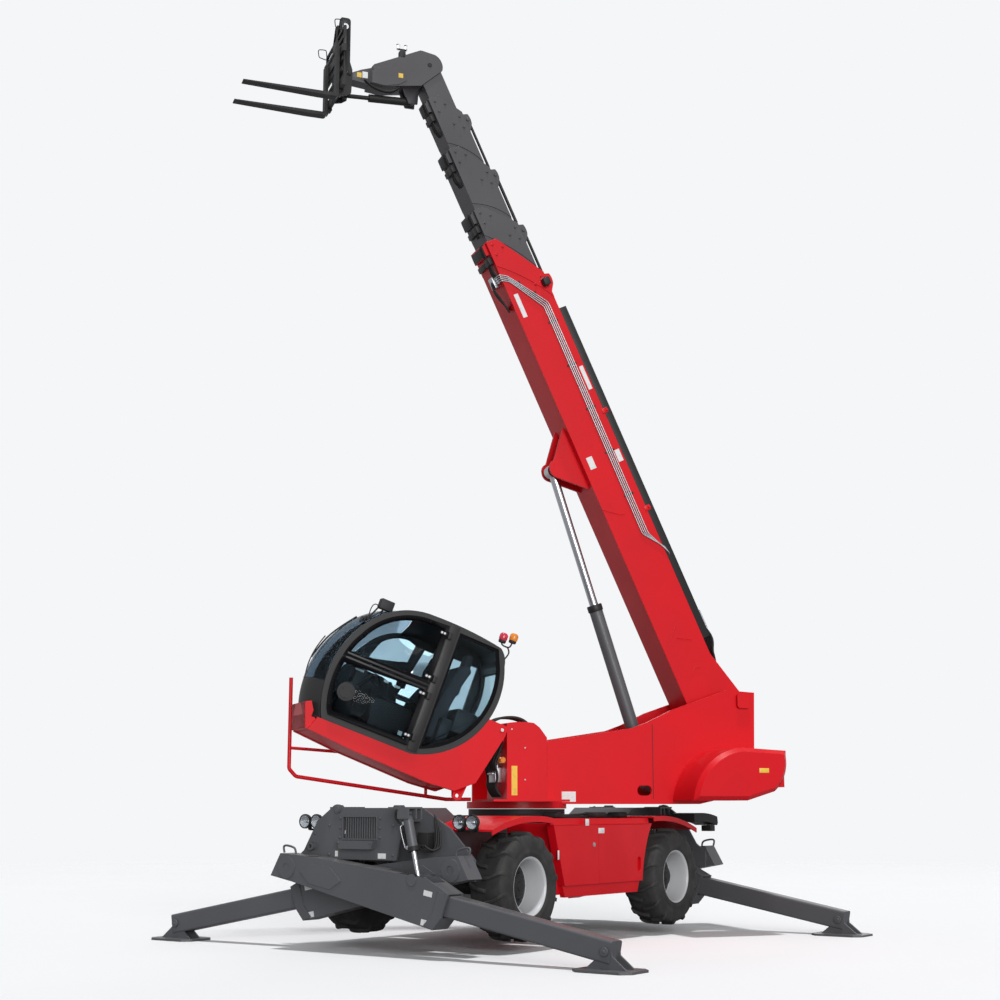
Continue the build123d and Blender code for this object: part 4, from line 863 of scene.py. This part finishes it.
ring = bmesh.ops.create_circle(trim, segments=12, radius=0.016, matrix=grip)["verts"]
ring_edges = list({edge for vert in ring for edge in vert.link_edges})
bmesh.ops.spin(trim, geom=ring + ring_edges, cent=wheel_at @ Vector((0, 0, 0)),
               axis=wheel_at.to_3x3() @ Vector((0, 0, 1)), angle=math.tau, steps=40, use_merge=True)
for turn in range(3):
    angle = turn * math.tau / 3
    tip = Vector((0.165 * math.cos(angle), 0.165 * math.sin(angle), 0))
    rod(trim, wheel_at @ Vector((0, 0, -0.01)), wheel_at @ tip, 0.012, 0.01, 12)
fit("cab_controls", trim, "cab", "black", PLASTIC, place=cab)

# Wiper, and the roof lamp on the arc over the windscreen
wiper = bmesh.new()
rod(wiper, (2.235, 0.8, -0.28), (2.262, 0.8, -0.275), 0.028, 0.022, 24)
fit("wiper_boss", wiper, "cab", "black", PLASTIC, place=cab)
hoses("wiper_arm", [[
    (2.262, 0.8, -0.275), (2.292, 0.8, -0.15), (2.296, 0.8, 0.02), (2.262, 0.8, 0.2),
    (2.225, 0.8, 0.3)]], 0.007, "cab", PLASTIC, cab)
hoses("wiper_blade", [[
    (2.284, 0.79, 0.02), (2.238, 0.8, 0.22), (2.12, 0.8, 0.44), (1.965, 0.8, 0.64)]], 0.01, "cab",
    RUBBER, cab)
roof_at = cab @ Matrix.Translation((0.16, 0, -0.18))
roof = bmesh.new()
box(roof, (1.5, 1.02, 0.955), (1.66, 1.1, 1.075), 0.01)
box(roof, (1.655, 1.03, 0.965), (1.672, 1.09, 1.065), 0.004)
rod(roof, (1.62, 1.06, 0.86), (1.6, 1.06, 0.965), 0.012, sides=14)
rod(roof, (1.74, 1.06, 0.78), (1.66, 1.06, 0.965), 0.01, sides=14)
for k in range(4):
    box(roof, (1.7 + 0.03 * k, 1.01, 0.8 - 0.022 * k), (1.715 + 0.03 * k, 1.1, 0.86 - 0.022 * k), 0.003)
fit("roof_lamp", roof, "cab", "black", PLASTIC, place=roof_at)
hoses("roof_lamp_rail", [[
    (1.6, 1.09, 0.95), (1.68, 1.1, 0.86), (1.76, 1.09, 0.74), (1.84, 1.06, 0.62)], [(1.66, 1.06, 0.97),
    (1.7, 1.07, 1.0), (1.75, 1.07, 0.93), (1.73, 1.07, 0.8)]], 0.006, "cab", RUBBER, roof_at)
# Twin beacons on a bent stalk at the back of the roof
stalk, beacon_red, beacon_amber = bmesh.new(), bmesh.new(), bmesh.new()
DOME = [(-0.045, 0.0), (-0.045, 0.04), (-0.02, 0.05), (0.025, 0.05), (0.045, 0.038), (0.054, 0.0)]
for shape, a, c in ((beacon_red, 0.3, 1.035), (beacon_amber, 0.18, 1.075)):
    spun(shape, DOME, Matrix.Translation((a, 1.02, c)) @ Matrix.Rotation(-math.pi / 2, 4, "Y"), 32)
    rod(stalk, (a, 1.02, c - 0.065), (a, 1.02, c - 0.042), 0.042, 0.046, 28)
fit("beacon_base", stalk, "cab", "black", PLASTIC, place=cab)
fit("beacon_red_lens", beacon_red, "cab", "glass", RED_LENS, place=cab, sharp=60)
fit("beacon_amber_lens", beacon_amber, "cab", "glass", AMBER, place=cab, sharp=60)
hoses("beacon_stalk", [[
    (0.3, 1.02, 0.975), (0.3, 1.02, 0.945), (0.23, 1.03, 0.935), (0.18, 1.02, 0.955), (0.18, 1.02, 1.02)],
    [(0.22, 1.03, 0.94), (0.18, 1.05, 0.9), (0.2, 1.06, 0.82), (0.23, 1.06, 0.76)]], 0.009, "cab",
    PLASTIC, cab)


# ---- Boom ---------------------------------------------------------------------------------
# A red main section and four slate sections that slide in it, folded from plate and welded.
# Doubled, bolted side plates end each one, with pads, hose bundles and guide rods outside.
BOOM_GREY = enamel("boom_grey_enamel", (0.07, 0.067, 0.073, 1), (0.054, 0.052, 0.058, 1), 0.46, 0.05, 0.35)
# Places on it are s along it from its pin, v to the left and n off its upper side
boom_pivot, along = Vector(joints["boom_lift"]["pos_m"]), Vector(joints["boom_extend_2"]["axis"])
boom = axes_at(boom_pivot, along, LEFT, along.cross(LEFT))
dress(RED, "boom_main")
dress(GREY, "lift_barrel")
dress(CHROME, "lift_rod")
dress(BOOM_GREY, *("boom_section_%d" % count for count in range(2, 6)))
# body, half width, low and high edge, where the doubled plates end on those two, and the finish
SECTIONS = [("boom_outer", 0.25, -0.64, -0.06, 6.59, 5.99, RED),
            ("boom_stage_2", 0.215, -0.6, -0.1, 7.03, 6.7, BOOM_GREY),
            ("boom_stage_3", 0.185, -0.565, -0.135, 7.88, 7.5, BOOM_GREY),
            ("boom_stage_4", 0.1575, -0.532, -0.168, 8.59, 8.3, BOOM_GREY)]
for body, half, low, high, end_low, end_high, finish in SECTIONS:
    heads, pads, clamps = bmesh.new(), bmesh.new(), bmesh.new()
    name = body.replace("boom_", "")
    for side in (1, -1):
        face = side * (half + 0.008)
        rows = [(end_low - 0.06, low + 0.07), (end_low - 0.2, low + 0.07), (end_high - 0.05, high - 0.06),
                (end_high - 0.2, high - 0.06), (end_low - 0.13, low + 0.19), (end_high - 0.12, high - 0.17)]
        bolts(heads, [(s, face, n) for s, n in rows], (0, side, 0), 0.013)
        pin = [(end_high - 0.11, side * (half - inside), high + 0.05) for inside in (0.03, 0.018)]
        rod(heads, *pin, 0.026, 0.022, 6)
    # wear pad edges, hose guide and clamp under the open end
    box(pads, (end_low - 0.15, -half + 0.05, low - 0.058), (end_low - 0.03, half - 0.05, low - 0.048), 0.004)
    under = low - 0.002
    box(clamps, (end_low - 0.29, half - 0.15, low - 0.062), (end_low - 0.19, half - 0.02, under), 0.008)
    box(clamps, (end_low - 0.28, -half + 0.03, low - 0.04), (end_low - 0.21, half - 0.16, under), 0.006)
    for k in range(4):
        v = half - 0.045 - 0.027 * k
        rod(clamps, (end_low - 0.3, v, low - 0.045), (end_low - 0.345, v, low - 0.045), 0.011, 0.01, 6)
    fit(name + "_bolts", heads, body, "boom_grey" if finish is BOOM_GREY else "body_red", finish, place=boom)
    fit(name + "_pads", pads, body, "black", PLASTIC, place=boom)
    fit(name + "_clamps", clamps, body, "black", BLACK_STEEL, place=boom)
    # hoses on both sides of the clamp, from the lower left corner of the open end
    runs = [[(-0.34, -0.045 - 0.027 * k, -0.045), (-0.38, -0.045 - 0.027 * k, -0.048 - 0.006 * (k % 2)),
             (-0.44, -0.05 - 0.027 * k, -0.03), (-0.49, -0.06 - 0.026 * k, -0.006)]
            for k in range(4) if name != "stage_2"]
    runs += [[(-0.18, -0.05 - 0.03 * k, -0.06), (-0.09, -0.03 - 0.03 * k, -0.072),
              (-0.03, -0.02 - 0.03 * k, -0.07), (-0.01, -0.04 - 0.03 * k, -0.03),
              (-0.02, -0.07 - 0.03 * k, -0.005)] for k in range(3)]
    open_end = boom @ Matrix.Translation((end_low, half, low))
    hoses(name + "_hoses", runs, 0.01, body, RUBBER, open_end)

# Guide rods over the upper side, each held by the brackets of its own section
RODS = [("boom_stage_2", 0.165, 6.02, 6.66, 0.018), ("boom_stage_3", 0.135, 6.72, 7.46, 0.02),
        ("boom_stage_4", 0.108, 7.52, 8.26, 0.017)]
HIGHS = {row[0]: row[3] for row in SECTIONS}
for body, v, start, end, radius in RODS:
    bars = bmesh.new()
    n = HIGHS[body] + 0.062
    for side in (1, -1):
        rod(bars, (start, side * v, n), (end, side * v, n), radius, sides=14)
    fit(body.replace("boom_", "") + "_guide_rods", bars, body, "black", BLACK_STEEL, place=boom)

# Four steel pipes up the left side of the main section, on clips
BOOM_FACE = 0.25           # outer face of the main section's side plates
PIPE_OUT = BOOM_FACE + 0.012
pipes = []
for k in range(4):
    gap = 0.026 * k
    pipes.append([(6.135 - gap, 0.18, -0.668), (6.135 - gap, 0.235, -0.672),
        (6.135 - gap, PIPE_OUT, -0.655), (6.125 - gap, PIPE_OUT, -0.63), (6.1 - gap, PIPE_OUT, -0.575),
        (6.075 - gap, PIPE_OUT, -0.545), (5.64 - gap * 0.4, PIPE_OUT, -0.205 - gap),
        (5.6 - gap * 0.4, PIPE_OUT, -0.18 - gap), (5.555 - gap * 0.4, PIPE_OUT, -0.172 - gap),
        (4.0, PIPE_OUT, -0.178 - gap), (2.46 + gap * 0.4, PIPE_OUT, -0.186 - gap),
        (2.4 + gap * 0.4, PIPE_OUT, -0.186 - gap), (2.36 + gap * 0.4, PIPE_OUT, -0.165 - gap),
        (2.1 + gap, PIPE_OUT, -0.035 - gap * 0.3), (2.06 + gap, PIPE_OUT - 0.004, -0.02 - gap * 0.2),
        (2.02 + gap, PIPE_OUT - 0.06, -0.012)])
hoses("boom_pipes", pipes, 0.0075, "boom_outer", ZINC, boom)
clips = bmesh.new()
for s in (5.35, 4.75, 4.15, 3.55, 2.95):
    box(clips, (s - 0.012, 0.249, -0.285), (s + 0.012, 0.258, -0.15), 0.002)
    bolts(clips, [(s, 0.258, -0.158)], (0, 1, 0), 0.007)
for s, n in ((5.95, -0.452), (5.76, -0.305)):
    box(clips, (s - 0.03, 0.249, n - 0.03), (s + 0.03, 0.256, n + 0.03), 0.002)
fit("pipe_clips", clips, "boom_outer", "black", BLACK_STEEL, place=boom)
fittings = bmesh.new()
for k in range(4):
    rod(fittings, (6.135 - 0.026 * k, 0.1, -0.665), (6.135 - 0.026 * k, 0.18, -0.668), 0.014, sides=6)
box(fittings, (6.02, -0.02, -0.7), (6.17, 0.11, -0.638), 0.006)
fit("pipe_fittings", fittings, "boom_outer", "rod", ZINC, place=boom)
hoses("boom_end_hoses", [[
    (6.03 + 0.028 * k, 0.05, -0.69), (6.0 + 0.02 * k, 0.09, -0.745), (5.86, 0.14 + 0.02 * k, -0.735),
    (5.76 - 0.05 * k, 0.12 + 0.02 * k, -0.68), (5.72, 0.06, -0.648)] for k in range(4)], 0.011, "boom_outer",
    RUBBER, boom)

# Blank reflective strips: along, up, length, height
strips = bmesh.new()
for side in (1, -1):
    face = side * BOOM_FACE
    for s, n, long, high in ((5.68, -0.545, 0.32, 0.06), (4.53, -0.11, 0.32, 0.055),
                             (3.5, -0.52, 0.16, 0.085), (3.455, -0.12, 0.16, 0.07)):
        box(strips, (s - long / 2, face - 0.002, n - high / 2), (s + long / 2, face + 0.002, n + high / 2))
fit("boom_strips", strips, "boom_outer", "body_red", WHITE_PLATE, place=boom)
# Welds of the inner stiffeners that show on the side plates, in low relief
welds = bmesh.new()
for side in (1, -1):
    face = side * 0.2505
    for (s0, n0), (s1, n1) in (((2.9, -0.64), (2.76, -0.44)), ((2.76, -0.44), (2.74, -0.38)),
                               ((1.05, -0.4), (0.95, -0.22)), ((1.02, -0.55), (1.18, -0.36)),
                               ((0.55, -0.42), (0.62, -0.34)), ((0.62, -0.34), (0.6, -0.26))):
        rod(welds, (s0, face, n0), (s1, face, n1), 0.005, sides=8)
fit("boom_weld_lines", welds, "boom_outer", "body_red", RED, place=boom)
# Work lamp on the main section's end
lamp, face_glass = bmesh.new(), bmesh.new()
box(lamp, (5.8, 0.255, -0.15), (5.9, 0.345, -0.055), 0.016)
box(lamp, (5.83, 0.245, -0.12), (5.87, 0.265, -0.08), 0.004)
box(face_glass, (5.899, 0.268, -0.138), (5.908, 0.332, -0.067), 0.003)
fit("boom_lamp", lamp, "boom_outer", "black", PLASTIC, place=boom)
fit("boom_lamp_lens", face_glass, "boom_outer", "glass", LENS, place=boom)

# The carrier: a low folded tray with a chain of hose links in it, held by red lugs, with the
# valve bank and the hose ends at its foot
tray, links, lugs = bmesh.new(), bmesh.new(), bmesh.new()
TRAY_FROM, TRAY_TO = 0.9, 5.48
for v0, n0, v1, n1 in ((-0.1, -0.06, 0.246, -0.054), (-0.1, -0.058, -0.094, 0.04),
                       (0.24, -0.058, 0.246, 0.042), (0.225, 0.036, 0.246, 0.042)):
    box(tray, (TRAY_FROM, v0, n0), (TRAY_TO, v1, n1), 0.001)
for k in range(7):
    s = 0.96 + 0.74 * k
    box(tray, (s, -0.096, -0.055), (s + 0.012, 0.242, 0.025))
LINKS, LINK_PITCH = 66, 0.067
for k in range(LINKS):
    s = 1.0 + LINK_PITCH * k
    box(links, (s, -0.08, -0.045), (s + 0.056, 0.205, 0.03), 0.006)
for s in (2.7, 4.05):
    box(lugs, (s - 0.035, 0.246, -0.09), (s + 0.035, 0.256, -0.005), 0.004)
    rod(lugs, (s, 0.25, -0.02), (s, 0.268, -0.02), 0.018, 0.016, 6)
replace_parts(fit("carrier_tray", tray, "boom_outer", "frame_grey", BLACK_STEEL, place=boom), "boom_carrier")
fit("carrier_chain", links, "boom_outer", "black", PLASTIC, place=boom)
fit("carrier_lugs", lugs, "boom_outer", "body_red", RED, place=boom)
bank, bank_heads = bmesh.new(), bmesh.new()
box(bank, (0.98, -0.12, 0.045), (1.24, 0.12, 0.125), 0.008)
for k in range(6):
    s = 1.0 + 0.042 * k
    rod(bank, (s, 0.12, 0.085), (s, 0.165, 0.085), 0.014, 0.012, 12)
    rod(bank_heads, (s, 0.05, 0.125), (s, 0.05, 0.15), 0.013, 0.011, 6)
    rod(bank_heads, (s, -0.05, 0.125), (s, -0.05, 0.158), 0.015, 0.012, 14)
fit("boom_valve_bank", bank, "boom_outer", "rod", ZINC, place=boom)
fit("boom_valve_heads", bank_heads, "boom_outer", "black", BLACK_STEEL, place=boom)
hoses("boom_foot_hoses", [[
    (0.99 + 0.03 * k, 0.13 - 0.05 * k, 0.09), (0.9, 0.14 - 0.05 * k, 0.115), (0.8, 0.15 - 0.05 * k, 0.1),
    (0.7 - 0.02 * k, 0.15 - 0.05 * k, 0.04), (0.6, 0.14 - 0.05 * k, 0.03 + 0.01 * (k % 2)),
    (0.45, 0.13 - 0.045 * k, -0.01), (0.35, 0.12 - 0.04 * k, -0.04)] for k in range(7)], 0.013, "boom_outer",
    RUBBER, boom)

# The lift cylinder's gland
lift_pin, lift_run = Vector(joints["lift_ram_swing"]["pos_m"]), Vector(joints["lift_ram_slide"]["axis"])
barrel_at = axes_at(lift_pin, lift_run, LEFT, lift_run.cross(LEFT))
gland = bmesh.new()
spun(gland, [(2.26, 0.084), (2.262, 0.093), (2.275, 0.096), (2.335, 0.096), (2.345, 0.09), (2.346, 0.058)],
     Matrix(), 48)
fit("lift_gland", gland, "lift_ram_barrel", "frame_grey", BLACK_STEEL, place=barrel_at)


# ---- Head, carriage and forks -------------------------------------------------------------
# Gooseneck at the boom's tip with a twin lamp, blank plates and the tilt cylinder's hoses, and
# the hooked carriage with its latch pin, wire loops and forged forks.
def forged_steel():
    f = Finish("forged_steel")
    scale = f.noise(40, 5)
    scuffed = f.ramp(f.noise(7, 5), 0.55, 0.72)
    return f.surface(Base_Color=f.blend(scuffed * 0.4, (0.02, 0.02, 0.021, 1), (0.075, 0.07, 0.066, 1)),
                     Roughness=0.48 + scale * 0.12, Metallic=scuffed * 0.3, Specular_IOR_Level=0.25,
                     Normal=f.bumped(scale, 0.001, 0.5, 0.005))


FORGED = forged_steel()
dress(FORGED, "forks")
dress(BLACK_STEEL, "tilt_barrel", "tilt_rod")
# The gooseneck's top edge runs straight from its crown to the nose
neck = merged_copy("boom_head")
cut_off(neck, turret @ Vector((1.36, 0, 11.035)), turret.to_3x3() @ Vector((0.315, 0, 0.665)))
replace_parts(fit("neck_welded", neck, "boom_stage_5", "boom_grey", BOOM_GREY, sharp=25), "boom_head")
# The carriage's uprights and top rail end lower than the hooks behind them
RAIL_DROP = 0.3
HOOK_FRONT, HOOK_TOP, HOOK_HALF = 2.4105, 11.3101, 0.131    # what is kept at its height ends here
rack = merged_copy("fork_carriage")
into_turret = turret.inverted()
for vert in rack.verts:
    spot = into_turret @ vert.co
    beside = spot.x > 2.399 and (abs(spot.y) > HOOK_HALF or spot.z > HOOK_TOP)
    if spot.z > 10.85 and (spot.x > HOOK_FRONT or beside):
        vert.co.z -= RAIL_DROP
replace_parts(fit("carriage_welded", rack, "carriage", "fork", BLACK_STEEL, sharp=25), "fork_carriage")
NECK_FACE = 0.15
head, pins = bmesh.new(), bmesh.new()
for side in (1, -1):
    face = side * NECK_FACE
    doubler(head, [(1.98, 10.5), (1.98, 10.66), (1.88, 10.72), (1.78, 10.76), (1.66, 10.76), (1.56, 10.7),
                   (1.52, 10.6), (1.62, 10.53), (1.8, 10.485)], face)
    rod(pins, (1.22, face, 10.86), (1.22, face + side * 0.007, 10.86), 0.03, 0.027, 28)
    rod(pins, (2.27, face, 10.59), (2.27, face + side * 0.008, 10.59), 0.026, 0.022, 24)
fit("head_doublers", head, "boom_stage_5", "boom_grey", BOOM_GREY, place=turret, edges=0.002)
fit("head_pins", pins, "boom_stage_5", "black", BLACK_STEEL, place=turret)
white, yellow = bmesh.new(), bmesh.new()
box(white, (2.02, 0.0895, 10.575), (2.09, 0.0915, 10.66))
box(yellow, (2.1, 0.0895, 10.575), (2.16, 0.0915, 10.64))
box(yellow, (1.575, 0.1575, 10.62), (1.635, 0.1595, 10.68))
fit("head_labels", white, "boom_stage_5", "boom_grey", WHITE_PLATE, place=turret)
fit("head_yellow_labels", yellow, "boom_stage_5", "boom_grey", YELLOW_PLATE, place=turret)
# Twin lamp on the neck: two clear heads on a small post
POST_U, POST_V = 1.58, 0.11
post, heads = bmesh.new(), bmesh.new()
box(post, (POST_U - 0.04, POST_V - 0.04, 10.9), (POST_U + 0.04, POST_V + 0.04, 11.0), 0.008)
rod(post, (POST_U, POST_V, 11.0), (POST_U, POST_V, 11.03), 0.018, sides=16)
rod(post, (POST_U - 0.06, POST_V, 11.03), (POST_U + 0.06, POST_V, 11.03), 0.01, sides=12)
for u in (POST_U - 0.05, POST_U + 0.05):
    rod(heads, (u, POST_V, 11.02), (u, POST_V, 11.09), 0.022, 0.026, 20)
fit("head_lamp_post", post, "boom_stage_5", "black", PLASTIC, place=turret)
fit("head_lamp_lenses", heads, "boom_stage_5", "glass", LENS, place=turret)
hoses("head_hoses", [[
    (1.62, 0.135 - 0.025 * k, 10.5), (1.68, 0.14 - 0.025 * k, 10.44 - 0.01 * k),
    (1.78, 0.14 - 0.025 * k, 10.41), (1.9, 0.14 - 0.025 * k, 10.43), (2.0, 0.125 - 0.025 * k, 10.48),
    (2.06, 0.11 - 0.025 * k, 10.55)] for k in range(2)], 0.012, "boom_stage_5", RUBBER, turret)
# Carriage: the latch pin's ring, cross slats and wire loops
LATCH_U, LATCH_Z = 2.335, 11.2
latch, plate = bmesh.new(), bmesh.new()
for side in (1, -1):
    face = side * 0.158
    rod(latch, (LATCH_U, face - side * 0.004, LATCH_Z), (LATCH_U, face + side * 0.006, LATCH_Z), 0.042,
        0.038, 32)
    rod(latch, (LATCH_U, face, LATCH_Z), (LATCH_U, face + side * 0.018, LATCH_Z), 0.022, 0.019, 24)
    bolts(latch, [(LATCH_U, side * 0.13, z) for z in (10.98, 10.8)], (0, side, 0), 0.01)
fit("latch_pin", latch, "carriage", "rod", ZINC, place=turret)
for z in (10.45, 10.6, 10.88):
    box(plate, (2.405, -0.46, z), (2.44, 0.46, z + 0.05), 0.004)
box(plate, (2.405, -0.1, 10.36), (2.43, 0.1, 11.02), 0.004)
fit("carriage_slats", plate, "carriage", "fork", BLACK_STEEL, place=turret)
hoses("carriage_wire_loops", [[(2.43, v, 11.03), (2.435, v, 11.12), (2.45, v, 11.135), (2.53, v, 11.13),
    (2.545, v, 11.11), (2.535, v, 11.03), (2.52, v, 11.015), (2.44, v, 11.0)] for v in (0.44, -0.44)],
    0.006, "carriage", BLACK_STEEL, turret)
# Fork hooks over the upper bar, and heel stiffeners
hooks = bmesh.new()
for v in (0.298, -0.298):
    for z in (10.812, 10.238):
        box(hooks, (2.392, v - 0.055, z - 0.01), (2.452, v + 0.055, z + 0.018), 0.004)
    rod(hooks, (2.47, v - 0.03, 10.835), (2.47, v + 0.03, 10.835), 0.018, sides=20)
fit("fork_hooks", hooks, "carriage", "fork", FORGED, place=turret)
